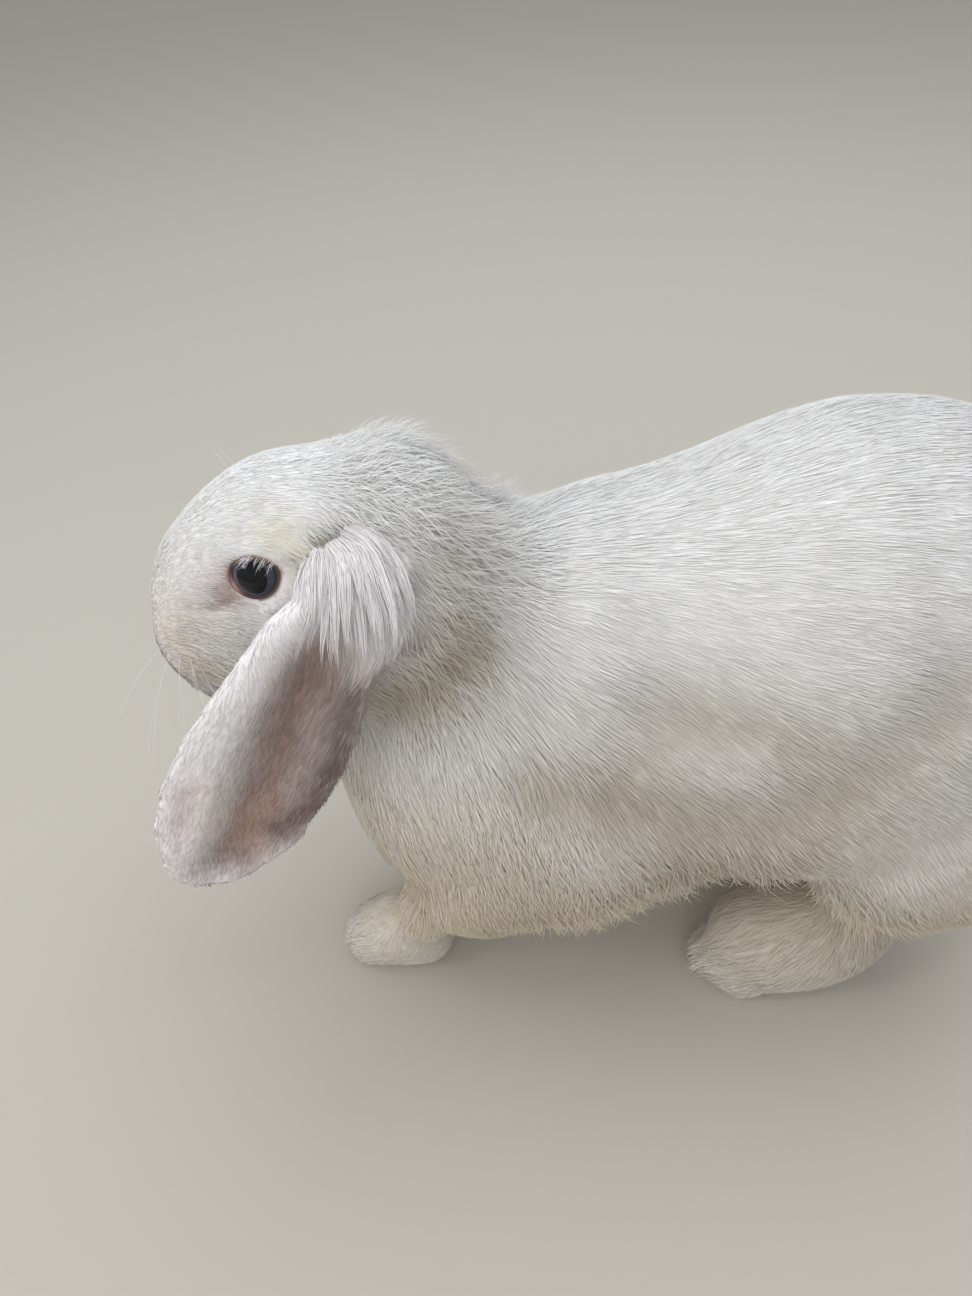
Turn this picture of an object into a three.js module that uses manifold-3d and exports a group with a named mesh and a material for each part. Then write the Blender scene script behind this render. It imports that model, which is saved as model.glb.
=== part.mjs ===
// A lop rabbit, standing on all four feet with its head held forward and its ears hanging.
// Millimetres, +Z up. The rabbit faces -Y and its left side is +X. The origin is on the floor,
// under the middle of the whole body. Every outline runs out to the tips of the coat.
// Each part of the body is a limb: a closed grid of vertices laid on rings along a smooth path.
// Neighbouring limbs are parted by thin gaps, and the soles are trimmed flat.
import * as THREE from "three";
import { mergeVertices } from "three/addons/utils/BufferGeometryUtils.js";
import Module from "manifold-3d";

const wasm = await Module();
wasm.setup();

// Driving dimensions.
const GAP = 0.3; // clearance between neighbouring pieces
const WELD = 1e-3; // distance under which two vertices are one
const EYE_RADIUS = 8.6;
const EYE_AT = [19, -63, 204.5]; // centre of the left eye
const LID_OPENING = [4.5, 7.8, 7]; // half sizes of the gap between the lids: depth, length, height
const CHEEK_AT = [22, -44, 170];
const CHEEK = [16, 27, 25]; // half sizes of a full cheek
const EAR_CUP = 7; // how far the rims of an ear stand above its hollow
const EAR_ROLL = 2; // how far the roll along its front edge stands above that
const RIGHT_EAR_SHIFT = [0, 4, -5]; // how the right ear hangs lower and further back than the left one
const RIGHT_FORE_BACK = 24; // how far the right forefoot stands behind the left one
const RIGHT_HIND_FORWARD = 8; // how far the right hind foot stands ahead of the left one
const FLOOR_BLOCK = 400; // half the side of the block that trims the soles

const COAT = new THREE.MeshStandardMaterial({ color: 0xf2f0ee, roughness: 0.9, metalness: 0 });
const EAR_SKIN = new THREE.MeshStandardMaterial({ color: 0xd9c8c6, roughness: 0.8, metalness: 0 });
const EYE = new THREE.MeshStandardMaterial({ color: 0x14161f, roughness: 0.1, metalness: 0 });

const FORWARD = new THREE.Vector3(0, -1, 0);
const FACE_FORWARD = new THREE.Vector3(0, -0.97, -0.24); // the face points a little down
const EAR_HOLLOW = new THREE.Vector3(0.86, 0.35, 0.36); // the way the hollow of the left ear looks
const LEFT = 1;
const RIGHT = -1;

// One section of a limb: its centre, its half width, and its reach above and below the centre.
function station(x, y, z, wide, high, low) {
  return { at: new THREE.Vector3(x, y, z), girth: new THREE.Vector3(wide, high, low) };
}

// The stations of a limb on either side of the body, moved along it by a given amount.
function onSide(side, stations, shiftY = 0) {
  return stations.map(({ at, girth }) => {
    return { at: new THREE.Vector3(side * at.x, at.y + shiftY, at.z), girth };
  });
}

// How full a limb is at t, with a round end over the first and the last stretch of its path.
function fullness(t, firstCap, lastCap) {
  const intoFirst = 1 - Math.min(t / firstCap, 1);
  const intoLast = 1 - Math.min((1 - t) / lastCap, 1);
  return Math.sqrt(Math.max(0, 1 - intoFirst ** 2) * Math.max(0, 1 - intoLast ** 2));
}

// A section that is an ellipse above and squarer below, and fuller below when pear is positive.
function ovalSection({ powerBelow = 1, pear = 0 } = {}) {
  return (across, upward) => {
    const power = upward < 0 ? powerBelow : 1;
    return {
      wide: Math.sign(across) * Math.abs(across) ** power * (1 - pear * upward),
      high: Math.sign(upward) * Math.abs(upward) ** power,
      lift: 0,
    };
  };
}

// A thin section with a hollow between its two rims, and a soft roll inside the front one.
function spoonSection(across, upward, t, full) {
  const spoon = Math.min(1, 2.2 * t) * full;
  const roll = Math.exp(-(((across + 0.6) / 0.38) ** 2));
  return {
    wide: across,
    high: (upward * (1 + 0.9 * roll * spoon)) / Math.sqrt(full),
    lift: spoon * (EAR_CUP * across ** 2 - EAR_CUP / 2 + EAR_ROLL * roll),
  };
}

// A closed limb along a smooth path through its stations. Its sections lie square to the path, or to
// one heading, and turn their upper side towards facing where that is given.
function limb(stations, { around, along, caps = [0.3, 0.3], section = ovalSection(), heading, facing }) {
  const path = new THREE.CatmullRomCurve3(stations.map((s) => s.at));
  const girths = new THREE.CatmullRomCurve3(stations.map((s) => s.girth), false, "catmullrom", 0.5);
  const shell = new THREE.SphereGeometry(1, around, along);
  const position = shell.getAttribute("position");
  const side = new THREE.Vector3();
  const up = new THREE.Vector3();
  for (let i = 0; i < position.count; i += 1) {
    const row = Math.floor(i / (around + 1));
    const column = (i % (around + 1)) % around;
    const t = 0.5 - 0.5 * Math.cos((Math.PI * row) / along);
    const turn = (2 * Math.PI * column) / around;
    const full = fullness(t, ...caps);
    const point = path.getPoint(t);
    if (row > 0 && row < along) {
      const tangent = heading ?? path.getTangent(t);
      if (facing) side.crossVectors(facing, tangent).normalize();
      else side.set(1, 0, 0).addScaledVector(tangent, -tangent.x).normalize();
      up.crossVectors(tangent, side);
      const { wide, high, lift } = section(-Math.cos(turn), Math.sin(turn), t, full);
      const girth = girths.getPoint(t).multiplyScalar(full);
      point.addScaledVector(side, wide * girth.x);
      point.addScaledVector(up, high * (high > 0 ? girth.y : girth.z) + lift);
    }
    position.setXYZ(i, point.x, point.y, point.z);
  }
  return shell;
}

// The manifold solid of a closed three.js geometry.
function solidOf(geometry) {
  geometry.deleteAttribute("normal");
  geometry.deleteAttribute("uv");
  const welded = mergeVertices(geometry, WELD);
  return new wasm.Manifold(
    new wasm.Mesh({
      numProp: 3,
      vertProperties: new Float32Array(welded.getAttribute("position").array),
      triVerts: new Uint32Array(welded.index.array),
    }),
  );
}

// The three.js geometry of a manifold solid.
function geometryOf(solid) {
  const mesh = solid.getMesh();
  const geometry = new THREE.BufferGeometry();
  geometry.setAttribute("position", new THREE.BufferAttribute(mesh.vertProperties, 3));
  geometry.setIndex(new THREE.BufferAttribute(mesh.triVerts, 1));
  return geometry;
}

// The same solid grown outwards by the gap, to cut its neighbour with.
function swollen(solid) {
  const geometry = geometryOf(solid);
  geometry.computeVertexNormals();
  const position = geometry.getAttribute("position");
  const normal = geometry.getAttribute("normal");
  const point = new THREE.Vector3();
  const outwards = new THREE.Vector3();
  for (let i = 0; i < position.count; i += 1) {
    outwards.fromBufferAttribute(normal, i);
    point.fromBufferAttribute(position, i).addScaledVector(outwards, GAP);
    position.setXYZ(i, point.x, point.y, point.z);
  }
  return solidOf(geometry);
}

// A solid less each of its neighbours, with a gap to them.
function cutBy(solid, ...neighbours) {
  return neighbours.reduce((left, neighbour) => left.subtract(swollen(neighbour)), solid);
}

// What of a solid stands above the floor, which leaves a flat sole.
function onFloor(solid) {
  const block = new THREE.BoxGeometry(2 * FLOOR_BLOCK, 2 * FLOOR_BLOCK, FLOOR_BLOCK);
  block.translate(0, 0, -FLOOR_BLOCK / 2);
  return solid.subtract(solidOf(block));
}

// An egg of the given half sizes round a centre.
function egg(centre, sizes, around, along) {
  const ball = new THREE.SphereGeometry(1, around, along);
  ball.scale(...sizes);
  ball.translate(...centre);
  return solidOf(ball);
}

// Barrel of the body: deep breast, belly tucked up behind it, back highest over the loins.
function trunk() {
  const stations = [
    station(0, 206, 114, 46, 50, 50),
    station(0, 186, 122, 58, 74, 66),
    station(0, 162, 130, 68, 92, 76),
    station(0, 132, 136, 73, 94, 78),
    station(0, 104, 135, 73, 93, 62),
    station(0, 80, 130, 70, 89, 53),
    station(0, 58, 122, 67, 89, 65),
    station(0, 34, 115, 67, 92, 86),
    station(0, 8, 108, 61, 92, 81),
    station(0, -22, 106, 51, 80, 70),
    station(0, -46, 108, 42, 56, 52),
    station(0, -60, 112, 30, 34, 34),
  ];
  const section = ovalSection({ powerBelow: 0.9, pear: 0.06 });
  return solidOf(limb(stations, { around: 24, along: 20, caps: [0.18, 0.14], section, heading: FORWARD }));
}

function neck() {
  const stations = [
    station(0, 30, 134, 46, 48, 46),
    station(0, 8, 146, 50, 55, 50),
    station(0, -16, 164, 42, 49, 44),
    station(0, -36, 176, 34, 34, 34),
  ];
  return solidOf(limb(stations, { around: 14, along: 8 }));
}

// Skull and blunt muzzle with a domed brow line, and a full cheek on each side.
function head() {
  const stations = [
    station(0, 12, 181, 31, 45, 32),
    station(0, -10, 185, 36, 49, 40),
    station(0, -32, 186, 37, 44.5, 45),
    station(0, -54, 184, 33, 43, 42),
    station(0, -70, 180, 29, 38, 39),
    station(0, -84, 174, 25, 32, 34),
    station(0, -96, 167, 21, 25, 28),
    station(0, -104, 162, 16, 19, 21),
  ];
  const rings = { around: 24, along: 18, caps: [0.16, 0.15], heading: FACE_FORWARD };
  const skull = solidOf(limb(stations, rings));
  return [LEFT, RIGHT].reduce((whole, side) => {
    return whole.add(egg([side * CHEEK_AT[0], CHEEK_AT[1], CHEEK_AT[2]], CHEEK, 12, 9));
  }, skull);
}

function eye(side) {
  return egg([side * EYE_AT[0], EYE_AT[1], EYE_AT[2]], [EYE_RADIUS, EYE_RADIUS, EYE_RADIUS], 12, 8);
}

// The opening between the lids, which leaves the front of the eye bare.
function lidOpening(side) {
  return egg([side * (EYE_AT[0] + EYE_RADIUS), EYE_AT[1], EYE_AT[2]], LID_OPENING, 10, 6);
}

// A hanging ear: a long spoon, hollow on its outer face, that swings forward as it falls.
function ear(side) {
  const stations = [
    station(18, -15, 201, 12, 8, 8),
    station(31, -25, 204, 14, 7, 7),
    station(43, -44, 197, 18, 4, 4),
    station(50, -61.5, 171, 25, 2.6, 2.6),
    station(52, -77.5, 144, 26.5, 2.4, 2.4),
    station(53, -90, 119, 23, 2.4, 2.4),
    station(51, -101, 94, 22, 2.4, 2.4),
  ];
  const rings = { around: 18, along: 15, caps: [0.15, 0.3], section: spoonSection, facing: EAR_HOLLOW };
  const shell = limb(stations, rings);
  return solidOf(side === LEFT ? shell : mirrored(shell).translate(...RIGHT_EAR_SHIFT));
}

// The same closed geometry on the other side of the body, its faces still pointing out.
function mirrored(geometry) {
  geometry.scale(-1, 1, 1);
  const index = geometry.index;
  for (let i = 0; i < index.count; i += 3) {
    const second = index.getX(i + 1);
    index.setX(i + 1, index.getX(i + 2));
    index.setX(i + 2, second);
  }
  return geometry;
}

// Upper arm, elbow and forearm, down to the wrist.
function foreleg(side, shiftY) {
  const stations = [
    station(32, 4, 108, 22, 28, 28),
    station(36, 4, 84, 23, 29, 30),
    station(36, -6, 62, 21, 26, 30),
    station(30, -23, 46, 17, 20, 29),
    station(26, -35, 29, 14, 17, 20),
  ];
  return solidOf(limb(onSide(side, stations, shiftY), { around: 12, along: 9 }));
}

function forepaw(side, shiftY) {
  const stations = [
    station(27, -22, 22, 14, 21, 24),
    station(26, -37, 18, 15, 21, 20),
    station(23, -51, 13, 15, 14, 16),
    station(20, -64, 10, 12, 10, 13),
  ];
  const paw = solidOf(limb(onSide(side, stations, shiftY), { around: 12, along: 8 }));
  const toes = { at: [21, -61 + shiftY, 7], apart: 6.5, size: [5, 8, 8], trail: 0.05 };
  return onFloor(withToes(paw, side, toes));
}

// The haunch: hip, thigh and knee, as one full oval.
function haunch(side, shiftY) {
  const stations = [
    station(40, 160, 152, 26, 34, 34),
    station(46, 158, 124, 28, 48, 40),
    station(50, 154, 96, 27, 52, 44),
    station(50, 150, 68, 24, 44, 42),
    station(46, 146, 44, 19, 34, 32),
  ];
  return solidOf(limb(onSide(side, stations, shiftY), { around: 14, along: 10 }));
}

// The long hind foot, turned a little outwards, its instep rising under the knee.
function hindFoot(side, shiftY) {
  const stations = [
    station(31, 160, 18, 12, 16, 22),
    station(39, 145, 19, 16, 23, 23),
    station(43, 127, 22, 21, 28, 26),
    station(44, 107, 22, 22, 27, 26),
    station(42, 91, 16, 18, 20, 21),
    station(41, 81, 12, 15, 13, 16),
  ];
  const foot = solidOf(limb(onSide(side, stations, shiftY), { around: 14, along: 10 }));
  const toes = { at: [42, 84 + shiftY, 8], apart: 9, size: [7, 11, 9], trail: 0.06 };
  return onFloor(withToes(foot, side, toes));
}

// A foot with its four toes, the outer ones a little behind the middle pair.
function withToes(foot, side, { at, apart, size, trail }) {
  return [-1.5, -0.5, 0.5, 1.5].reduce((whole, place) => {
    const across = place * apart;
    const centre = [side * (at[0] + across), at[1] + trail * across ** 2, at[2]];
    return whole.add(egg(centre, size, 8, 5));
  }, foot);
}

// A short tail, carried up against the rump.
function tail() {
  const stations = [
    station(0, 186, 104, 15, 13, 13),
    station(0, 204, 110, 16, 13, 13),
    station(0, 212, 128, 15, 12, 12),
    station(0, 211, 148, 11, 9, 9),
  ];
  return solidOf(limb(stations, { around: 12, along: 8 }));
}

function meshOf(name, solid, material) {
  const mesh = new THREE.Mesh(geometryOf(solid), material);
  mesh.name = name;
  return mesh;
}

// The limbs of one side, cut where they meet.
function sideMeshes(word, limbs) {
  return [
    meshOf(word + "_ear", limbs.ear, EAR_SKIN),
    meshOf(word + "_eye", limbs.eye, EYE),
    meshOf(word + "_foreleg", cutBy(limbs.foreleg, limbs.forepaw), COAT),
    meshOf(word + "_forepaw", limbs.forepaw, COAT),
    meshOf(word + "_haunch", cutBy(limbs.haunch, limbs.hindFoot), COAT),
    meshOf(word + "_hind_foot", limbs.hindFoot, COAT),
  ];
}

function limbsOf(side, foreShift, hindShift, ...earNeighbours) {
  return {
    ear: cutBy(ear(side), ...earNeighbours),
    eye: eye(side),
    foreleg: foreleg(side, foreShift),
    forepaw: forepaw(side, foreShift),
    haunch: haunch(side, hindShift),
    hindFoot: hindFoot(side, hindShift),
  };
}

function rabbit() {
  const group = new THREE.Group();
  const skull = head();
  const throat = neck();
  const stern = tail();
  const left = limbsOf(LEFT, 0, 0, skull, throat);
  const right = limbsOf(RIGHT, RIGHT_FORE_BACK, -RIGHT_HIND_FORWARD, skull, throat);
  const legs = [left, right].flatMap((limbs) => [limbs.foreleg, limbs.forepaw, limbs.haunch]);
  const openings = [lidOpening(LEFT), lidOpening(RIGHT)];
  group.add(meshOf("head", cutBy(skull, left.eye, right.eye, ...openings), COAT));
  group.add(meshOf("neck", cutBy(throat, skull), COAT));
  group.add(meshOf("trunk", cutBy(trunk(), skull, throat, stern, ...legs), COAT));
  group.add(meshOf("tail", stern, COAT));
  group.add(...sideMeshes("left", left), ...sideMeshes("right", right));
  return centred(group);
}

// The group moved so that its origin is under the middle of the whole body.
function centred(group) {
  const box = new THREE.Box3().setFromObject(group);
  const middle = box.getCenter(new THREE.Vector3());
  group.position.set(-middle.x, -middle.y, -box.min.z);
  return group;
}

export default rabbit();
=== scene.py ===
"""A white lop rabbit, as a still, life-size museum model: skin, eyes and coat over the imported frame."""

import logging
import math
from dataclasses import dataclass
from enum import Enum

import bmesh
import bpy
import numpy as np
from mathutils import Matrix, Vector
from mathutils.bvhtree import BVHTree


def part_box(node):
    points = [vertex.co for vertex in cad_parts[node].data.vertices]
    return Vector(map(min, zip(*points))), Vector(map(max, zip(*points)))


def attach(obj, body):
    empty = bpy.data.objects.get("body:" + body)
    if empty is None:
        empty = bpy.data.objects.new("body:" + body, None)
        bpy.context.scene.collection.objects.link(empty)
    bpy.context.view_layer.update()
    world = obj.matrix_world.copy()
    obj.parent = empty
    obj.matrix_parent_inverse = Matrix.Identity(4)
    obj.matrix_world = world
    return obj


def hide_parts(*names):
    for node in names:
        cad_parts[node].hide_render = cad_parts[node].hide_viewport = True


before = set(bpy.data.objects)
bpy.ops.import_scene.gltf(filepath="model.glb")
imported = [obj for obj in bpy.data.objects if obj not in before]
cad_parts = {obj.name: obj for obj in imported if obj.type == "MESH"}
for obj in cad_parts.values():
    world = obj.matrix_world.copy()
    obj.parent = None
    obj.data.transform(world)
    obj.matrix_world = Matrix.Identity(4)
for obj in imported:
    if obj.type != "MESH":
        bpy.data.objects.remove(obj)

LOG = logging.getLogger("lop_rabbit")
ROOT_BODY = "root"
UV_NAME = "OFBake"
SMALL = 1e-9
EYE_REGION = 1.7  # how far from an eye's middle its lids colour and part the coat, in eyeball radii
MOST_INPUT = "Tufts per square metre"
SPACING_INPUT = "Spacing"
ROOT_DEPTH = 0.0004  # how deep a tuft's root is sunk under the skin, in metres
Array = np.ndarray
Point = tuple[float, float, float]
Colour = tuple[float, float, float]
Range = tuple[float, float]
Inputs = dict[str | int, object]


class Side(Enum):
    """The two sides of the body, by the sign of their X."""

    LEFT = 1.0
    RIGHT = -1.0

    @property
    def word(self) -> str:
        """The side's name as the frame's nodes write it."""
        return self.name.lower()


class Zone(Enum):
    """The flesh of the body, each zone with the frame nodes that it covers."""

    HEAD = ("head",)
    NECK = ("neck",)
    TRUNK = ("trunk",)
    TAIL = ("tail",)
    FORELEG = ("left_foreleg", "right_foreleg")
    FOREPAW = ("left_forepaw", "right_forepaw")
    HAUNCH = ("left_haunch", "right_haunch")
    HIND_FOOT = ("left_hind_foot", "right_hind_foot")
    EAR = ("left_ear", "right_ear")


ZONES = tuple(Zone)
FLESH = tuple(name for zone in ZONES for name in zone.value)


# ---------------------------------------------------------------- small tools


def unit(vectors: Array) -> Array:
    """Vectors scaled to length one, row by row."""
    return vectors / np.maximum(np.linalg.norm(vectors, axis=-1, keepdims=True), SMALL)


def smooth_step(low: float, high: float, values: Array) -> Array:
    """A soft step from 0 at low to 1 at high."""
    share = np.clip((values - low) / (high - low), 0.0, 1.0)
    return share * share * (3.0 - 2.0 * share)


def bump(values: Array, width: float) -> Array:
    """A bell curve of height one, for distances from its middle."""
    return np.exp(-((values / width) ** 2))


def turn_from(turns: Array, degrees: float) -> Array:
    """How far some angles lie from one, the short way round, in radians."""
    return np.angle(np.exp(1j * (turns - math.radians(degrees))))


def mirrored(point: Point, side: Side) -> Array:
    """A point or direction given for the left side, on the side asked for."""
    return np.array(point, float) * np.array((side.value, 1.0, 1.0))


def to_lines(points: Array, line: Array) -> Array:
    """Distance of each point from a bent line.

    Args:
        points: Positions, one a row.
        line: The bent line's corners, one a row.

    Returns:
        One distance for each point.
    """
    best = np.full(len(points), np.inf)
    for start, end in zip(line[:-1], line[1:]):
        along = end - start
        share = np.clip((points - start) @ along / max(along @ along, SMALL), 0.0, 1.0)
        gap = np.linalg.norm(points - start - share[:, None] * along, axis=1)
        best = np.minimum(best, gap)
    return best


def new_object(name: str, mesh: bpy.types.Mesh) -> bpy.types.Object:
    """Puts a mesh in the scene, at the origin.

    Args:
        name: The object's name.
        mesh: Its mesh.

    Returns:
        The object.
    """
    thing = bpy.data.objects.new(name, mesh)
    bpy.context.scene.collection.objects.link(thing)
    return thing


def drop_object(thing: bpy.types.Object) -> None:
    """Takes an object and its mesh out of the file.

    Args:
        thing: The object.
    """
    mesh = thing.data
    bpy.data.objects.remove(thing)
    bpy.data.meshes.remove(mesh)


def evaluated(thing: bpy.types.Object) -> bpy.types.Mesh:
    """The plain mesh that an object's modifiers make, without an empty material slot.

    Args:
        thing: The object.

    Returns:
        A new mesh.
    """
    graph = bpy.context.evaluated_depsgraph_get()
    mesh = bpy.data.meshes.new_from_object(thing.evaluated_get(graph), depsgraph=graph)
    if len(mesh.materials) > 1 and mesh.materials[0] is None:
        mesh.materials.pop(index=0)
    return mesh


def to_mesh(name: str, body: bmesh.types.BMesh) -> bpy.types.Mesh:
    """Makes a mesh from a body under construction, which is used up.

    Args:
        name: The mesh's name.
        body: The body under construction.

    Returns:
        The mesh.
    """
    mesh = bpy.data.meshes.new(name)
    body.to_mesh(mesh)
    body.free()
    return mesh


def read(items: bpy.types.bpy_prop_collection, key: str, wide: int = 1, kind: type = float) -> Array:
    """Reads one value of every item in a mesh's list.

    Args:
        items: The list.
        key: The value's name.
        wide: How many numbers it has.
        kind: Their type.

    Returns:
        The values, one a row where they have several numbers.
    """
    flat = np.empty(len(items) * wide, kind)
    items.foreach_get(key, flat)
    return flat.reshape(-1, wide) if wide > 1 else flat


def coordinates(mesh: bpy.types.Mesh) -> Array:
    """The places of a mesh's vertices, one a row."""
    return read(mesh.vertices, "co", 3)


def corners_of(mesh: bpy.types.Mesh) -> Array:
    """The vertex at each of a mesh's face corners."""
    return read(mesh.loops, "vertex_index", 1, int)


def store(mesh: bpy.types.Mesh, name: str, values: Array) -> None:
    """Writes a number, vector or colour for each vertex as a named attribute.

    Args:
        mesh: The mesh that gets the attribute.
        name: The attribute's name.
        values: One row for each vertex, of 1, 3 or 4 numbers.
    """
    wide = 1 if values.ndim == 1 else values.shape[1]
    kind, key = {1: ("FLOAT", "value"), 3: ("FLOAT_VECTOR", "vector"), 4: ("FLOAT_COLOR", "color")}[wide]
    attribute = mesh.attributes.new(name, kind, "POINT")
    attribute.data.foreach_set(key, np.ascontiguousarray(values, np.float32).ravel())


# ---------------------------------------------------------------- skin


class Net:
    """A mesh as arrays: vertex places, and the neighbours of each vertex."""

    def __init__(self, mesh: bpy.types.Mesh) -> None:
        """Reads the mesh's vertices and edges.

        Args:
            mesh: The mesh.
        """
        self.mesh = mesh
        self.places = coordinates(mesh)
        ends = read(mesh.edges, "vertices", 2, int)
        both = np.vstack((ends, ends[:, ::-1]))
        both = both[np.argsort(both[:, 0], kind="stable")]
        counts = np.bincount(both[:, 0], minlength=len(self.places))
        starts = np.concatenate(([0], np.cumsum(counts)[:-1]))
        slots = np.arange(len(both)) - starts[both[:, 0]]
        self.near = np.tile(np.arange(len(self.places))[:, None], (1, int(counts.max())))
        self.near[both[:, 0], slots] = both[:, 1]
        self.counts = np.maximum(counts, 1)
        self.spare = self.near.shape[1] - counts

    def mean(self, values: Array) -> Array:
        """Averages some values over each vertex's neighbours.

        Args:
            values: One value or row for each vertex.

        Returns:
            The mean over each vertex's neighbours.
        """
        columns = values.reshape(len(values), -1)
        total = -self.spare[:, None] * columns
        for slot in self.near.T:
            total += columns[slot]
        return (total / self.counts[:, None]).reshape(values.shape)

    def spread(self, values: Array, rounds: int) -> Array:
        """Averages some values with the neighbours', round after round.

        Args:
            values: One value or row for each vertex.
            rounds: How many rounds.

        Returns:
            The averaged values.
        """
        for _ in range(rounds):
            values = 0.5 * values + 0.5 * self.mean(values)
        return values

    def relax(self, rounds: int, share: Array, steps: tuple[float, ...] = (0.55, -0.57)) -> None:
        """Smooths the shape.

        Args:
            rounds: How many times the steps are taken.
            share: How much of each step each vertex takes, from 0 to 1.
            steps: Moves towards the neighbours' mean; a negative one makes up for shrinking.
        """
        for _ in range(rounds):
            for step in steps:
                self.places += step * share[:, None] * (self.mean(self.places) - self.places)

    def normals(self, rounds: int = 0) -> Array:
        """Unit normals at the vertices, spread over their neighbours for that many rounds."""
        self.write()
        return unit(self.spread(read(self.mesh.vertex_normals, "vector", 3), rounds))

    def write(self) -> None:
        """Puts the places back into the mesh."""
        self.mesh.vertices.foreach_set("co", self.places.ravel())
        self.mesh.update()

    def tree(self) -> BVHTree:
        """A search tree over the mesh's faces."""
        self.write()
        return BVHTree.FromPolygons(self.places.tolist(), [tuple(p.vertices) for p in self.mesh.polygons])


def merged_flesh(name: str, swell: float) -> bpy.types.Mesh:
    """A merged copy of a frame node's solid, grown a little so that neighbours meet.

    Args:
        name: The frame node.
        swell: How far the copy's faces are moved outwards, in metres.

    Returns:
        The copy.
    """
    solid = bmesh.new()
    solid.from_mesh(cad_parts[name].data)
    bmesh.ops.remove_doubles(solid, verts=solid.verts, dist=1e-6)
    solid.normal_update()
    for vertex in solid.verts:
        vertex.co += vertex.normal * swell
    return to_mesh(name + "_copy", solid)


def united(name: str, parts: list[bpy.types.Mesh], voxel: float) -> bpy.types.Mesh:
    """Closed meshes fused into one even net of small squares.

    Args:
        name: The new mesh's name.
        parts: The closed meshes, which are used up.
        voxel: The size of the squares, in metres.

    Returns:
        The fused mesh.
    """
    whole = bmesh.new()
    for part in parts:
        whole.from_mesh(part)
        bpy.data.meshes.remove(part)
    carrier = new_object(name + "_blank", to_mesh(name, whole))
    shrink = carrier.modifiers.new("fuse", "REMESH")
    shrink.mode = "VOXEL"
    shrink.voxel_size = voxel
    shrink.adaptivity = 0.0
    result = evaluated(carrier)
    drop_object(carrier)
    result.name = name
    return result


def thinned(mesh: bpy.types.Mesh, keep: Array, triangles: int) -> bpy.types.Mesh:
    """A mesh brought down to some number of triangles, where the detail isn't needed.

    Args:
        mesh: The mesh, which is used up.
        keep: How fine each vertex's surroundings stay, from 0 to 1.
        triangles: How many triangles are left.

    Returns:
        The thinned mesh.
    """
    carrier = new_object(mesh.name + "_fine", mesh)
    group = carrier.vertex_groups.new(name="coarse")
    levels = np.round((1.0 - keep) * 10).astype(int)
    for level in range(1, 11):
        group.add(np.flatnonzero(levels == level).tolist(), level / 10, "REPLACE")
    mesh.calc_loop_triangles()
    thin = carrier.modifiers.new("thin", "DECIMATE")
    thin.ratio = min(1.0, triangles / max(len(mesh.loop_triangles), 1))
    thin.vertex_group = "coarse"
    name = mesh.name
    result = evaluated(carrier)
    drop_object(carrier)
    result.name = name
    return result


@dataclass(frozen=True)
class Crease:
    """A line along which the skin is pressed in or raised.

    Args:
        line: The line's corners on the left side, in metres.
        width: How far from the line the change fades, in metres.
        depth: How far the skin goes in, or out where it is negative, in metres.
        way: The way in which a thin part is pushed as a whole, or None to press along the skin's normal.
        both: Whether the right side has it too.
        shift: How much further back the right side's line lies, in metres.
    """

    line: tuple[Point, ...]
    width: float
    depth: float
    way: Point | None = None
    both: bool = True
    shift: float = 0.0

    def press(self, net: Net, normals: Array, tree: BVHTree) -> None:
        """Moves the net's vertices near the line.

        Args:
            net: The net.
            normals: Its normals.
            tree: A search tree over it.
        """
        for side in Side if self.both else (Side.LEFT,):
            back = np.array((0.0, self.shift if side is Side.RIGHT else 0.0, 0.0))
            corners = np.array([mirrored(point, side) + back for point in self.line])
            shares = np.linspace(0.0, 1.0, 9)
            pairs = zip(corners[:-1], corners[1:])
            pieces = [one + (two - one) * share for one, two in pairs for share in shares]
            on_skin = np.array([tree.find_nearest(Vector(piece))[0] for piece in pieces])
            fall = self.depth * bump(to_lines(net.places, on_skin), self.width)
            ways = normals if self.way is None else -unit(mirrored(self.way, side))[None]
            net.places -= ways * fall[:, None]


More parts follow.
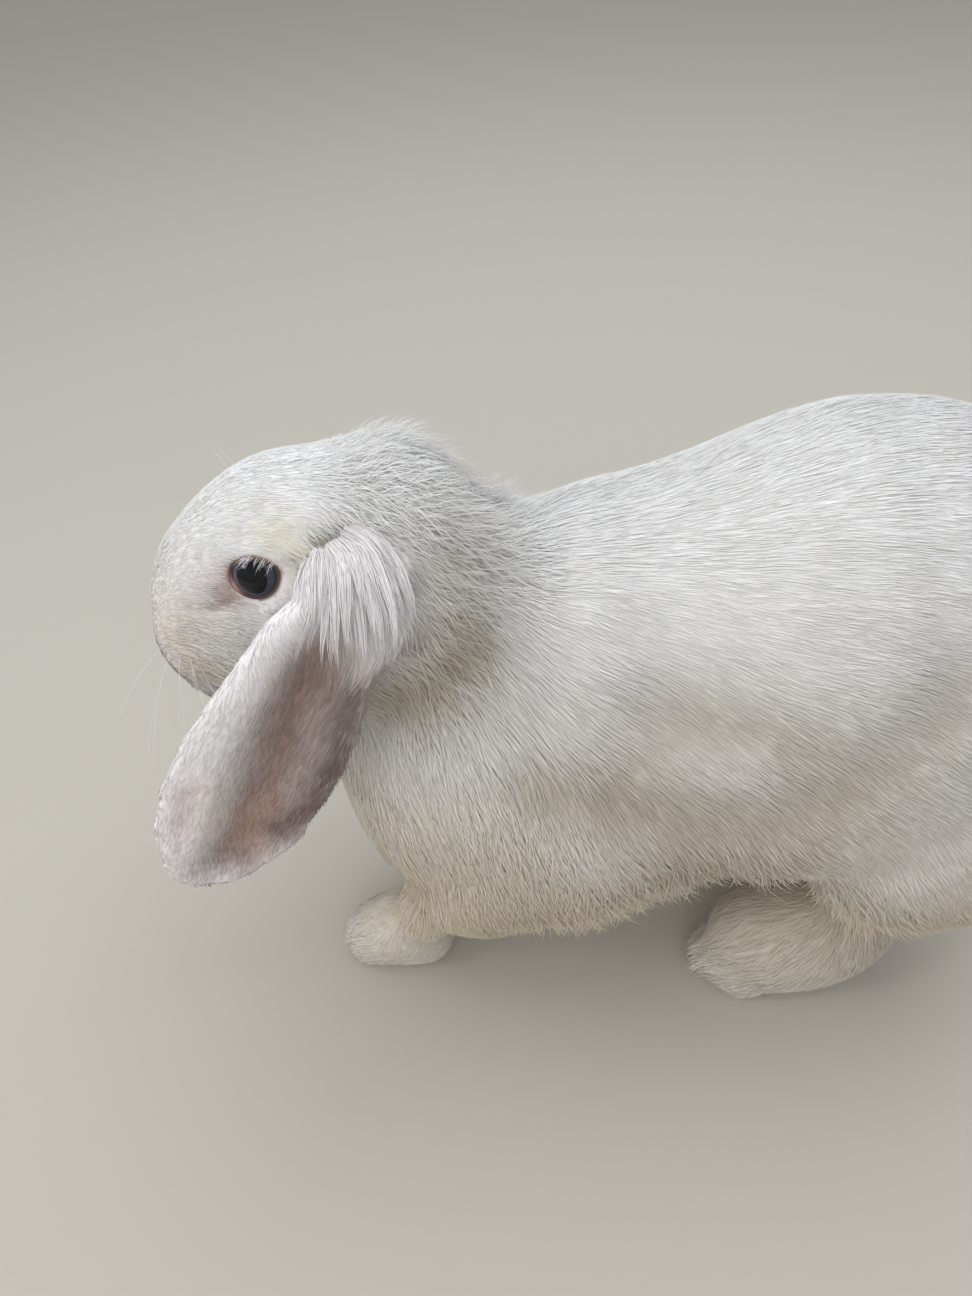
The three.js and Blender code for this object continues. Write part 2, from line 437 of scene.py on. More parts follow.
@dataclass
class Eye:
    """Where an eyeball lies and looks, as the skin's lids and the eyeball itself share it.

    Args:
        side: The side of the head.
        radius: The eyeball's radius, in metres.
        gaze: The way the left eye looks.
        opening: Half angles of the lids' opening along the head, above the gaze and below it, in degrees.
        corner_at: Where the inner corner lies, in degrees from the front towards the top.
        corner_width: How far round from it the opening is drawn out, in degrees.
        corner_reach: How much further the opening reaches there, in degrees.
    """

    side: Side
    radius: float = 0.0086
    gaze: Point = (0.916, -0.14, 0.377)
    opening: tuple[float, float, float] = (49.0, 31.0, 46.0)
    corner_at: float = -28.0
    corner_width: float = 20.0
    corner_reach: float = 7.0

    def __post_init__(self) -> None:
        """Finds the eyeball's middle and the three ways that its angles are taken from."""
        low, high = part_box(f"{self.side.word}_eye")
        self.middle = np.array((low + high) / 2)
        self.out = unit(mirrored(self.gaze, self.side))
        upward = np.array((0.0, 0.0, 1.0)) - self.out[2] * self.out
        self.up = unit(upward)
        self.front = unit(np.cross(self.up, self.out)) * self.side.value
        if self.front[1] > 0:
            self.front = -self.front

    @classmethod
    def pair(cls) -> list["Eye"]:
        """The left and the right eye."""
        return [cls(side) for side in Side]

    def ways(self, off: Array, round_: Array) -> Array:
        """Unit vectors at an angle off the gaze and an angle round it, from the front towards the top.

        Args:
            off: Angles off the gaze, in radians.
            round_: Angles round it, in radians.

        Returns:
            One vector for each pair of angles.
        """
        across = np.cos(round_)[..., None] * self.front + np.sin(round_)[..., None] * self.up
        return np.cos(off)[..., None] * self.out + np.sin(off)[..., None] * across

    def angles(self, places: Array) -> tuple[Array, Array, Array]:
        """Measures some places from the eyeball's middle.

        Args:
            places: Positions, one a row.

        Returns:
            Their distances from the middle, angles off the gaze and angles round it, in radians.
        """
        away = places - self.middle
        reach = np.linalg.norm(away, axis=1)
        off = np.arccos(np.clip(away @ self.out / np.maximum(reach, SMALL), -1.0, 1.0))
        return reach, off, np.arctan2(away @ self.up, away @ self.front)

    def rim(self, round_: Array) -> Array:
        """The half angle of the opening, with its inner corner low at the front.

        Args:
            round_: Angles round the gaze, in radians.

        Returns:
            One half angle for each, in radians.
        """
        along, above, below = np.radians(self.opening)
        across = below + (above - below) * smooth_step(-0.25, 0.55, np.sin(round_))
        oval = 1.0 / np.sqrt((np.cos(round_) / along) ** 2 + (np.sin(round_) / across) ** 2)
        return oval + math.radians(self.corner_reach) * self.corner(round_)

    def corner(self, round_: Array) -> Array:
        """How near some angles round the gaze are to the inner corner, from 0 to 1."""
        return bump(turn_from(round_, self.corner_at), math.radians(self.corner_width))

    def beyond(self, places: Array) -> tuple[Array, Array, Array]:
        """Measures some places from the lids' opening.

        Args:
            places: Positions, one a row.

        Returns:
            Their angles past the opening, angles round the gaze and distances in eyeball radii.
        """
        reach, off, round_ = self.angles(places)
        return off - self.rim(round_), round_, reach / self.radius


@dataclass
class Lids:
    """The lids round one eye, made as rings that are sewn into the skin.

    Args:
        eye: The eye that they close round.
        around: How many vertices each ring has.
        thick: How far the rim stands over the eyeball, in metres.
        cut: How far past the opening the skin is cut away for them, in degrees.
        reach: How far from the eye's middle it is cut at most, in eyeball radii.
        face_rings: How far past the opening the rings on the face lie, in degrees.
        rim_rings: For each ring over the rim, how far past the opening it lies, in degrees, and its
            height over the eyeball, in rim thicknesses.
        top_fold: How deep the fold of the upper lid is, in metres.
        low_fold: How deep the fold of the lower lid is, in metres.
        roll: How high the roll beside the rim is, in metres.
    """

    eye: Eye
    around: int = 84
    thick: float = 0.0006
    cut: float = 24.0
    reach: float = 2.2
    face_rings: tuple[float, ...] = (21.0, 18.0, 15.0, 12.5, 10.0, 8.0, 6.5, 5.0, 3.8, 2.6, 1.5)
    rim_rings: tuple[tuple[float, float], ...] = (
        (0.6, 1.0), (0.0, 0.8), (-0.6, 0.35), (-0.9, -0.3), (1.0, -1.2), (6.0, -2.2),
    )
    top_fold: float = 0.00045
    low_fold: float = 0.0003
    roll: float = 0.00025

    def sew(self, mesh: bpy.types.Mesh, tree: BVHTree) -> None:
        """Cuts the skin round the eye and joins the rings to it.

        Args:
            mesh: The skin, which is changed.
            tree: A search tree over the skin as it was before any cut.
        """
        eye = self.eye
        body = bmesh.new()
        body.from_mesh(mesh)
        centres = np.array([tuple(face.calc_center_median()) for face in body.faces])
        past, _, radii = eye.beyond(centres)
        gone = (past < math.radians(self.cut)) & (radii < self.reach)
        body.faces.ensure_lookup_table()
        bmesh.ops.delete(body, geom=[body.faces[i] for i in np.flatnonzero(gone)], context="FACES")
        edge_loop = [edge for edge in body.edges if edge.is_boundary]
        turn = np.linspace(0.0, 2.0 * np.pi, self.around, endpoint=False)
        rings = [[body.verts.new(place) for place in ring] for ring in self.rings(turn, tree)]
        outer = [body.edges.new((rings[0][i - 1], rings[0][i])) for i in range(self.around)]
        for one, two in zip(rings[:-1], rings[1:]):
            for i in range(self.around):
                body.faces.new((one[i - 1], one[i], two[i], two[i - 1]))
        body.faces.new(rings[-1])
        bmesh.ops.bridge_loops(body, edges=edge_loop + outer)
        bmesh.ops.recalc_face_normals(body, faces=body.faces)
        body.to_mesh(mesh)
        body.free()

    def rings(self, turn: Array, tree: BVHTree) -> list[Array]:
        """The rings' places, from the face inwards over the rim to behind it.

        Args:
            turn: The angles round the gaze at which each ring has a vertex.
            tree: A search tree over the skin.

        Returns:
            One array of places for each ring.
        """
        eye = self.eye
        rim = eye.rim(turn)
        edge = eye.radius + self.thick
        made: list[Array] = []
        top = bump(turn_from(turn, 95.0), math.radians(60.0))
        low = bump(turn_from(turn, -90.0), math.radians(60.0))
        for past in self.face_rings:
            off = rim + np.radians(past)
            ways = eye.ways(off, turn)
            face = np.array([self.face_reach(tree, way) for way in ways])
            share = smooth_step(1.0, 22.0, np.full(self.around, past)) ** (0.8 + 0.8 * top)
            fold = bump(np.full(self.around, past) - 7.5, 2.2) * (self.top_fold * top + self.low_fold * low)
            roll = bump(np.full(self.around, past) - 3.5, 2.2) * self.roll
            reach = np.maximum(edge * (1 - share) + face * share, eye.radius + 0.0004)
            made.append(eye.middle + ways * (reach - fold + roll)[:, None])
        for inside, height in self.rim_rings:
            off = rim + np.radians(inside)
            made.append(eye.middle + eye.ways(off, turn) * (eye.radius + self.thick * height))
        return made

    def face_reach(self, tree: BVHTree, way: Array) -> float:
        """How far the face lies from the eye's middle, some way.

        Args:
            tree: A search tree over the skin.
            way: The way that is looked.

        Returns:
            The distance, in metres.
        """
        far = 0.03
        start = Vector(self.eye.middle + way * far)
        hit = tree.ray_cast(start, Vector(-way), far)
        near = (Vector(hit[0]) - Vector(self.eye.middle)).length if hit[0] is not None else self.eye.radius
        return float(np.clip(near, self.eye.radius * 0.9, self.eye.radius * 1.6))


@dataclass(frozen=True)
class Filling:
    """A rounded lump of flesh that fills out the place where two parts of the body meet.

    Args:
        at: Its middle on the left side, in metres.
        size: Its half sizes.
        shift: How much further back it lies on the right side.
    """

    at: Point
    size: Point
    shift: float = 0.0

    def build(self, side: Side) -> bpy.types.Mesh:
        """Makes the lump of one side.

        Args:
            side: The side.

        Returns:
            A closed mesh.
        """
        lump = bmesh.new()
        back = (0.0, self.shift if side is Side.RIGHT else 0.0, 0.0)
        place = Matrix.Translation(Vector(mirrored(self.at, side)) + Vector(back))
        size = Matrix.Diagonal((*self.size, 1.0))
        bmesh.ops.create_uvsphere(lump, u_segments=24, v_segments=16, radius=1.0, matrix=place @ size)
        return to_mesh("filling", lump)


@dataclass
class Skin:
    """The one skin of the body, under the coat.

    Args:
        swell: How far the frame's solids grow so that they fuse, in metres.
        body_voxel: The net's size on the body before the ears are joined, in metres.
        ear_voxel: The same on the ears.
        skin_voxel: The fused net's size.
        triangles: How many triangles the skin has without the lids.
        body_rounds: How many rounds the body's shape is smoothed for.
        ear_rounds: The same for the ears.
        border_rounds: How many rounds the borders of the coat's zones are blended for.
        most_inset: The share of the flesh's thickness that the skin lies under it at most.
        stain_and_shade_from: The height below which the coat grows warmer and darker, from cream staining and
            painted shade, in metres.
        stain_and_shade_full: The height at which it is warmest and darkest, in metres.
        head_spared_stain_and_shade: How much of that staining and painted shade the head is spared.
        frizz: How unruly the tufts are where no spot says otherwise.
        lid_length: A tuft's length beside the lids, in metres.
        lid_lift: How far its tip stands over the skin there, in metres.
    """

    swell: float = 0.0005
    body_voxel: float = 0.0016
    ear_voxel: float = 0.001
    skin_voxel: float = 0.0014
    triangles: int = 165000
    body_rounds: int = 44
    ear_rounds: int = 14
    border_rounds: int = 24
    most_inset: float = 0.16
    stain_and_shade_from: float = 0.185
    stain_and_shade_full: float = 0.065
    head_spared_stain_and_shade: float = 0.75
    frizz: float = 0.12
    lid_length: float = 0.0013
    lid_lift: float = 0.0007

    def build(self, eyes: list[Eye]) -> bpy.types.Object:
        """Makes the skin and all that the coat reads from it.

        Args:
            eyes: The two eyes, which the lids close round.

        Returns:
            The skin's object.
        """
        eye_nodes = [f"{eye.side.word}_eye" for eye in eyes]
        ear_nodes = list(Zone.EAR.value)
        body_nodes = [node for node in FLESH if node not in ear_nodes]
        body = self.inset_net("body_form", body_nodes, eye_nodes, self.body_voxel, self.body_rounds)
        ears = self.inset_net("ear_form", ear_nodes, [], self.ear_voxel, self.ear_rounds)
        self.body_tree = body.tree()
        self.ear_tree = ears.tree()
        roots = [filling.build(side) for filling in FILLINGS for side in Side]
        mesh = united("skin", [body.mesh, ears.mesh, *roots], self.skin_voxel)
        net = Net(mesh)
        net.relax(6, np.ones(len(net.places)))
        net.write()
        fine = self.zone_shares(net, 6) @ np.array([ZONE_LOOKS[zone].fine for zone in ZONES])
        mesh = thinned(mesh, np.clip(fine, 0.0, 1.0), self.triangles)
        net = Net(mesh)
        net.relax(2, np.ones(len(net.places)))
        self.sculpt(net)
        net.write()
        tree = net.tree()
        for eye in eyes:
            Lids(eye).sew(mesh, tree)
        thing = new_object("skin", mesh)
        self.net = Net(mesh)
        self.shares = self.zone_shares(self.net, self.border_rounds)
        for polygon in mesh.polygons:
            polygon.use_smooth = True
        self.unwrap(thing)
        self.dress(mesh)
        return thing

    def unwrap(self, thing: bpy.types.Object) -> None:
        """Unwraps the skin by its own shape into the map that the coat's patches lie on.

        Args:
            thing: The skin's object.
        """
        bpy.ops.object.select_all(action="DESELECT")
        bpy.context.view_layer.objects.active = thing
        thing.select_set(True)
        thing.data.uv_layers.new(name=UV_NAME)
        bpy.ops.object.mode_set(mode="EDIT")
        bpy.ops.mesh.select_all(action="SELECT")
        bpy.ops.uv.smart_project(angle_limit=math.radians(66.0), island_margin=0.004)
        bpy.ops.object.mode_set(mode="OBJECT")

    def vertex_areas(self) -> Array:
        """The share of the skin's area that belongs to each vertex.

        Returns:
            One area for each vertex, in square metres.
        """
        if not hasattr(self, "areas"):
            mesh = self.net.mesh
            count = read(mesh.polygons, "loop_total", 1, int)
            each = np.repeat(read(mesh.polygons, "area") / count, count)
            self.areas = np.bincount(corners_of(mesh), weights=each, minlength=len(mesh.vertices))
        return self.areas

    def share_of(self, zone: Zone) -> Array:
        """How much of a zone each vertex belongs to, from 0 to 1."""
        return self.shares[:, ZONES.index(zone)]

    def blended(self, word: str) -> Array:
        """A size of the zones' looks, blended over the skin."""
        return self.shares @ np.array([getattr(ZONE_LOOKS[zone], word) for zone in ZONES])

    def dress(self, mesh: bpy.types.Mesh) -> None:
        """Stores on the skin what its colour and the tufts read.

        Args:
            mesh: The skin's mesh.
        """
        sizes = {word: self.blended(word) for word in ("length", "width", "lift", "lock")}
        sizes["mane"] = np.zeros(len(self.net.places))
        sizes["frizz"] = np.full(len(self.net.places), self.frizz)
        for spot in SPOTS:
            for side in Side:
                share = bump(np.linalg.norm(self.net.places - mirrored(spot.at, side), axis=1), spot.reach)
                for word in ("length", "lift", "lock", "mane", "frizz"):
                    sizes[word] += share * (getattr(spot, word) - sizes[word])
        for eye in Eye.pair():
            past, _, radii = eye.beyond(self.net.places)
            near = 1.0 - smooth_step(math.radians(10.0), math.radians(26.0), past)
            near *= radii < EYE_REGION
            sizes["length"] += near * (self.lid_length - sizes["length"])
            sizes["lift"] += near * (self.lid_lift - sizes["lift"])
        for word, values in sizes.items():
            store(mesh, word, values)
        store(mesh, "lie", Lie(self).on_skin())
        store(mesh, "outward", self.net.normals(3))
        store(mesh, "tint", self.colours())
        self.density = self.coverage()
        self.map_places = read(mesh.uv_layers[UV_NAME].data, "uv", 2)
        self.first_loops = read(mesh.polygons, "loop_start", 1, int)
        spots = np.hstack((self.map_places, np.zeros((len(self.map_places), 1))))
        attribute = mesh.attributes.new("map_place", "FLOAT_VECTOR", "CORNER")
        attribute.data.foreach_set("vector", spots.astype(np.float32).ravel())

    def colours(self) -> Array:
        """The colour of the skin and of the coat.

        Returns:
            One colour for each vertex, with its alpha.
        """
        places = self.net.places
        # Cream staining and painted shade together: the coat turns warmer and darker towards the bottom, less
        # so right at the floor and on the head.
        low = 1.0 - smooth_step(self.stain_and_shade_full, self.stain_and_shade_from, places[:, 2])
        low *= smooth_step(0.0, 0.06, places[:, 2]) * 0.6 + 0.4
        low *= 1.0 - self.head_spared_stain_and_shade * self.share_of(Zone.HEAD)
        colour = np.array(WHITE) + low[:, None] * (np.array(LOW_STAIN_AND_SHADE) - np.array(WHITE))
        colour += self.share_of(Zone.EAR)[:, None] * (np.array(EAR_WHITE) - colour)
        for tint in TINTS:
            for side in Side:
                line = np.array([mirrored(point, side) for point in tint.line])
                share = tint.strength * bump(to_lines(places, line), tint.width)[:, None]
                colour += share * (np.array(tint.colour) - colour)
        for eye in Eye.pair():
            past, round_, radii = eye.beyond(places)
            past = np.degrees(past)
            near = (radii < EYE_REGION).astype(float)
            forward = 0.62 + 0.38 * np.cos(round_ - math.radians(60.0))
            # A brown ring round the eye, strongest at the top front, fading outwards.
            ring_brown = near * (1.0 - smooth_step(2.0, 19.0, past)) * forward * 0.75
            colour += ring_brown[:, None] * (np.array(EYE_RING_BROWN) - colour)
            rim = near * (1.0 - smooth_step(1.5, 7.0, past - 14.0 * np.clip(forward - 0.35, 0.0, 1.0)))
            brown = np.array(LID_RIM) + smooth_step(2.0, 9.0, past)[:, None] * (np.array(LID_SKIN) - LID_RIM)
            colour += rim[:, None] * (brown - colour)
            pink = near * (1.0 - smooth_step(1.0, 3.0, past)) * eye.corner(round_)
            colour += pink[:, None] * (np.array(LID_PINK) - colour)
        return np.hstack((colour, np.ones((len(colour), 1))))

    def coverage(self) -> Array:
        """How densely tufts grow, with bare lids and soles.

        Returns:
            One density for each vertex, from 0 to 1.
        """
        density = np.ones(len(self.net.places))
        for eye in Eye.pair():
            past, round_, radii = eye.beyond(self.net.places)
            above = bump(turn_from(round_, 60.0), math.radians(75.0))
            bare = (past < np.radians(4.0 + 4.0 * above)) & (radii < 1.5)
            density[bare] = 0.0
        density *= smooth_step(0.0015, 0.004, self.net.places[:, 2])
        return density

    def inset_net(self, name: str, nodes: list[str], plugs: list[str], voxel: float, rounds: int) -> Net:
        """Some of the frame's solids fused, smoothed and taken in by the depth of their coat.

        Args:
            name: The mesh's name.
            nodes: The frame nodes.
            plugs: Frame nodes that fill hollows in them, such as the eyes.
            voxel: The net's size, in metres.
            rounds: How many rounds of smoothing the smoothest zones get.

        Returns:
            The net.
        """
        net = Net(united(name, [merged_flesh(node, self.swell) for node in nodes + plugs], voxel))
        shares = self.zone_shares(net, 14, [zone for zone in ZONES if zone.value[0] in nodes])
        firm = np.array([ZONE_LOOKS[zone].firm for zone in ZONES])
        net.relax(rounds, 1.0 - shares @ firm, (0.5,))
        depth = net.spread(shares @ np.array([ZONE_LOOKS[zone].depth for zone in ZONES]), 4)
        floor_gap = smooth_step(0.0, 0.01, net.places[:, 2])
        normals = net.normals(3)
        depth = np.minimum(depth * (0.12 + 0.88 * floor_gap), self.most_inset * self.thickness(net, normals))
        net.places -= normals * net.spread(depth, 3)[:, None]
        net.write()
        return net

    def thickness(self, net: Net, normals: Array, most: float = 0.05) -> Array:
        """How thick the flesh is under each vertex.

        Args:
            net: The net.
            normals: Its normals.
            most: The depth that is looked to, in metres.

        Returns:
            One thickness for each vertex, in metres.
        """
        tree = net.tree()
        starts = net.places - normals * ROOT_DEPTH
        hits = [tree.ray_cast(Vector(start), Vector(-way), most)[3] for start, way in zip(starts, normals)]
        return np.array([most if hit is None else hit for hit in hits])

    def zone_shares(self, net: Net, rounds: int, zones: list[Zone] | None = None) -> Array:
        """How much of each zone each vertex belongs to.

        Args:
            net: The net.
            rounds: How many rounds the zones' borders are blended for.
            zones: The zones looked at, or None for all.

        Returns:
            One row for each vertex, one column for each zone, rows adding up to 1.
        """
        nodes = [(ZONES.index(zone), node) for zone in zones or ZONES for node in zone.value]
        shares = np.zeros((len(net.places), len(ZONES)))
        rows = np.arange(len(shares))
        if zones is None:
            body = [pair for pair in nodes if pair[0] != ZONES.index(Zone.EAR)]
            to_ear = np.array([self.ear_tree.find_nearest(place)[3] for place in map(Vector, net.places)])
            to_body = np.array([self.body_tree.find_nearest(place)[3] for place in map(Vector, net.places)])
            found = np.where(to_ear < to_body, ZONES.index(Zone.EAR), self.nearest_zone(net, body))
        else:
            found = self.nearest_zone(net, nodes)
        shares[rows, found] = 1.0
        return net.spread(shares, rounds)

    def nearest_zone(self, net: Net, nodes: list[tuple[int, str]]) -> Array:
        """The zone whose solid lies nearest to each vertex.

        Args:
            net: The net.
            nodes: Pairs of a zone's number and a frame node.

        Returns:
            One zone's number for each vertex.
        """
        places: list[list[float]] = []
        faces: list[tuple[int, ...]] = []
        labels: list[int] = []
        for number, node in nodes:
            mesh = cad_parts[node].data
            start = len(places)
            places += coordinates(mesh).tolist()
            faces += [tuple(start + i for i in polygon.vertices) for polygon in mesh.polygons]
            labels += [number] * len(mesh.polygons)
        tree = BVHTree.FromPolygons(places, faces)
        hits = np.array([tree.find_nearest(place)[2] for place in map(Vector, net.places)])
        return np.array(labels)[hits]

    def sculpt(self, net: Net) -> None:
        """Presses the face's creases, the toes, the folds and the ears' ridges into the net.

        Args:
            net: The net.
        """
        normals = net.normals(2)
        tree = net.tree()
        for crease in CREASES:
            crease.press(net, normals, tree)


@dataclass(frozen=True)
class ZoneLook:
    """What a zone's skin and coat are like.

    Args:
        depth: How far the skin lies under the coat's outline, in metres.
        firm: How much of the smoothing the zone is spared, from 0 to 1.
        length: A tuft's length, in metres.
        width: A tuft's greatest width, in metres.
        lift: How far a tuft's tip stands over the skin, in metres.
        lock: How much neighbouring tufts draw together, from 0 to 1.
        fine: How much of its fine net the zone's skin keeps, from 0 to 1.
    """

    depth: float
    firm: float
    length: float
    width: float
    lift: float
    lock: float
    fine: float


ZONE_LOOKS: dict[Zone, ZoneLook] = {
    Zone.HEAD: ZoneLook(0.0014, 0.45, 0.0046, 0.0003, 0.0008, 0.3, 1.0),
    Zone.NECK: ZoneLook(0.0028, 0.0, 0.013, 0.00034, 0.0016, 0.5, 0.3),
    Zone.TRUNK: ZoneLook(0.0026, 0.0, 0.015, 0.00035, 0.0011, 0.5, 0.0),
    Zone.TAIL: ZoneLook(0.0034, 0.1, 0.012, 0.00036, 0.0034, 0.5, 0.2),
    Zone.FORELEG: ZoneLook(0.002, 0.1, 0.011, 0.00034, 0.0014, 0.5, 0.3),
    Zone.FOREPAW: ZoneLook(0.0014, 0.5, 0.0074, 0.00032, 0.0017, 0.45, 0.8),
    Zone.HAUNCH: ZoneLook(0.0026, 0.0, 0.0145, 0.00035, 0.0012, 0.5, 0.0),
    Zone.HIND_FOOT: ZoneLook(0.0016, 0.45, 0.0095, 0.00034, 0.0022, 0.5, 0.8),
    Zone.EAR: ZoneLook(0.0006, 0.2, 0.0056, 0.0003, 0.0007, 0.4, 0.8),
}

INWARD: Point = (-1.0, -0.1, 0.0)
EAR_HOLLOW: tuple[Point, ...] = (
    (0.0456, -0.1035, 0.1921),
    (0.0486, -0.1155, 0.1719),
    (0.0499, -0.1243, 0.1518),
    (0.0511, -0.1375, 0.1237),
    (0.0515, -0.145, 0.111),
)
EAR_FURROW: tuple[Point, ...] = (
    (0.0473, -0.0945, 0.179),
    (0.0505, -0.1045, 0.1525),
    (0.0511, -0.116, 0.1325),
    (0.0509, -0.1285, 0.122),
)
EAR_RIM: tuple[Point, ...] = (
    (0.0475, -0.091, 0.177),
    (0.0514, -0.102, 0.1487),
    (0.0519, -0.1171, 0.123),
    (0.0514, -0.14, 0.1008),
)
EAR_BAND: tuple[Point, ...] = (
    (0.05, -0.112, 0.202),
    (0.0545, -0.127, 0.182),
    (0.0575, -0.141, 0.156),
    (0.057, -0.15, 0.128),
)
TEAR_LINE: tuple[Point, ...] = (
    (0.0235, -0.1295, 0.1985),
    (0.0222, -0.135, 0.1958),
    (0.0209, -0.1394, 0.1935),
    (0.0188, -0.1434, 0.1925),
)
UPPER_FOLD: tuple[Point, ...] = (
    (0.0509, -0.0113, 0.1685),
    (0.0551, 0.0027, 0.1656),
    (0.059, 0.0166, 0.1629),
    (0.0626, 0.0279, 0.1583),
)
FRONT_FOLD: tuple[Point, ...] = (
    (0.0507, -0.0467, 0.1414),
    (0.0545, -0.0378, 0.1379),
    (0.058, -0.0258, 0.1385),
)
LOWER_FOLD: tuple[Point, ...] = (
    (0.0595, -0.018, 0.137),
    (0.0625, 0.001, 0.131),
    (0.065, 0.024, 0.128),
)
THIGH_FOLD: tuple[Point, ...] = (
    (0.0607, 0.0694, 0.178),
    (0.0654, 0.0612, 0.1653),
    (0.0671, 0.0501, 0.1555),
    (0.0653, 0.0356, 0.1432),
)
HIND_SHIFT = -0.008
FORE_SHIFT = 0.024
HIND_TOE_GAPS = (0.0355, 0.043, 0.05)
HIND_TOE_LINE: tuple[Point, ...] = ((0.0, 0.019, 0.004), (0.0, 0.0225, 0.014), (0.0015, 0.034, 0.022))
FORE_TOE_GAPS = (0.016, 0.0215, 0.0265)
FORE_TOE_LINE: tuple[Point, ...] = ((0.0, -0.123, 0.004), (0.0, -0.119, 0.012), (0.0015, -0.11, 0.018))


def toe_creases(
    gaps: tuple[float, ...], line: tuple[Point, ...], width: float, depth: float, shift: float
) -> tuple[Crease, ...]:
    """The creases between the toes of a foot.

    Args:
        gaps: Where across the foot they lie, in metres.
        line: The line that each follows from there.
        width: How wide they are, in metres.
        depth: How deep they are, in metres.
        shift: How much further back they lie on the right side, in metres.

    Returns:
        The creases.
    """
    lines = [tuple((gap + x, y, z) for x, y, z in line) for gap in gaps]
    return tuple(Crease(moved, width, depth, shift=shift) for moved in lines)


FILLINGS: tuple[Filling, ...] = (
    Filling((0.02, -0.077, 0.199), (0.01, 0.012, 0.007)),
    Filling((0.048, 0.099, 0.053), (0.013, 0.023, 0.015), HIND_SHIFT),
    Filling((0.034, -0.087, 0.042), (0.0105, 0.012, 0.014), FORE_SHIFT),
)

CREASES: tuple[Crease, ...] = (
    Crease(TEAR_LINE, 0.0017, 0.0011),
    Crease(((0.0222, -0.129, 0.2125), (0.0222, -0.1185, 0.216)), 0.003, -0.0006),
    Crease(((0.0045, -0.148, 0.202), (0.006, -0.136, 0.212), (0.006, -0.124, 0.219)), 0.02, -0.0016),
    Crease(((0.0166, -0.0805, 0.2238), (0.0169, -0.0727, 0.2198), (0.018, -0.067, 0.2135)), 0.012, 0.0022),
    Crease(((0.018, -0.045, 0.193), (0.0226, -0.042, 0.19)), 0.012, 0.002),
    Crease(((0.0226, -0.1024, 0.2155), (0.0222, -0.1006, 0.2162)), 0.0022, 0.0022),
    Crease(((0.0219, -0.0972, 0.2172), (0.0216, -0.095, 0.218)), 0.0022, 0.002),
    Crease(((0.014, -0.16, 0.174), (0.019, -0.154, 0.169)), 0.0065, -0.0014),
    Crease(((0.003, -0.164, 0.1715), (0.0062, -0.1625, 0.1745)), 0.0011, 0.0014),
    Crease(((0.0, -0.1655, 0.17), (0.0, -0.163, 0.157)), 0.001, 0.0012, both=False),
    Crease(((0.0, -0.162, 0.156), (0.006, -0.159, 0.1535), (0.013, -0.15, 0.154)), 0.0013, 0.0014),
    Crease(EAR_HOLLOW, 0.0088, 0.003, INWARD),
    Crease(EAR_FURROW, 0.003, 0.0016, INWARD),
    Crease(EAR_RIM, 0.0032, -0.0012, INWARD),
    Crease(EAR_BAND, 0.009, -0.0018, INWARD),
    Crease(((0.0589, -0.1475, 0.153), (0.059, -0.1515, 0.14)), 0.004, 0.0015, INWARD),
    Crease(((0.0566, -0.14, 0.1571), (0.0583, -0.152, 0.1284)), 0.0026, -0.0009, INWARD),
    Crease(UPPER_FOLD, 0.01, 0.0026),
    Crease(FRONT_FOLD, 0.01, 0.0026),
    Crease(LOWER_FOLD, 0.012, 0.0016),
    Crease(THIGH_FOLD, 0.011, 0.003),
    Crease(((0.0614, 0.0145, 0.1525), (0.059, -0.002, 0.156)), 0.009, -0.0012),
    Crease(((0.0587, -0.035, 0.1225), (0.0622, -0.0257, 0.1154)), 0.013, -0.0016),
    Crease(((0.071, 0.0765, 0.11), (0.07, 0.06, 0.115)), 0.02, -0.0016),
    Crease(((0.066, 0.03, 0.112), (0.062, 0.045, 0.094)), 0.014, -0.004),
) + toe_creases(HIND_TOE_GAPS, HIND_TOE_LINE, 0.0016, 0.0016, HIND_SHIFT) + toe_creases(
    FORE_TOE_GAPS, FORE_TOE_LINE, 0.0014, 0.0013, FORE_SHIFT
)


@dataclass(frozen=True)
class Tint:
    """A place where the skin and the coat have another colour.

    Args:
        line: The corners of the line that it follows on the left side, in metres.
        width: How far from the line it fades, in metres.
        colour: The colour at the line.
        strength: The colour's share at the line.
    """

    line: tuple[Point, ...]
    width: float
    colour: Colour
    strength: float


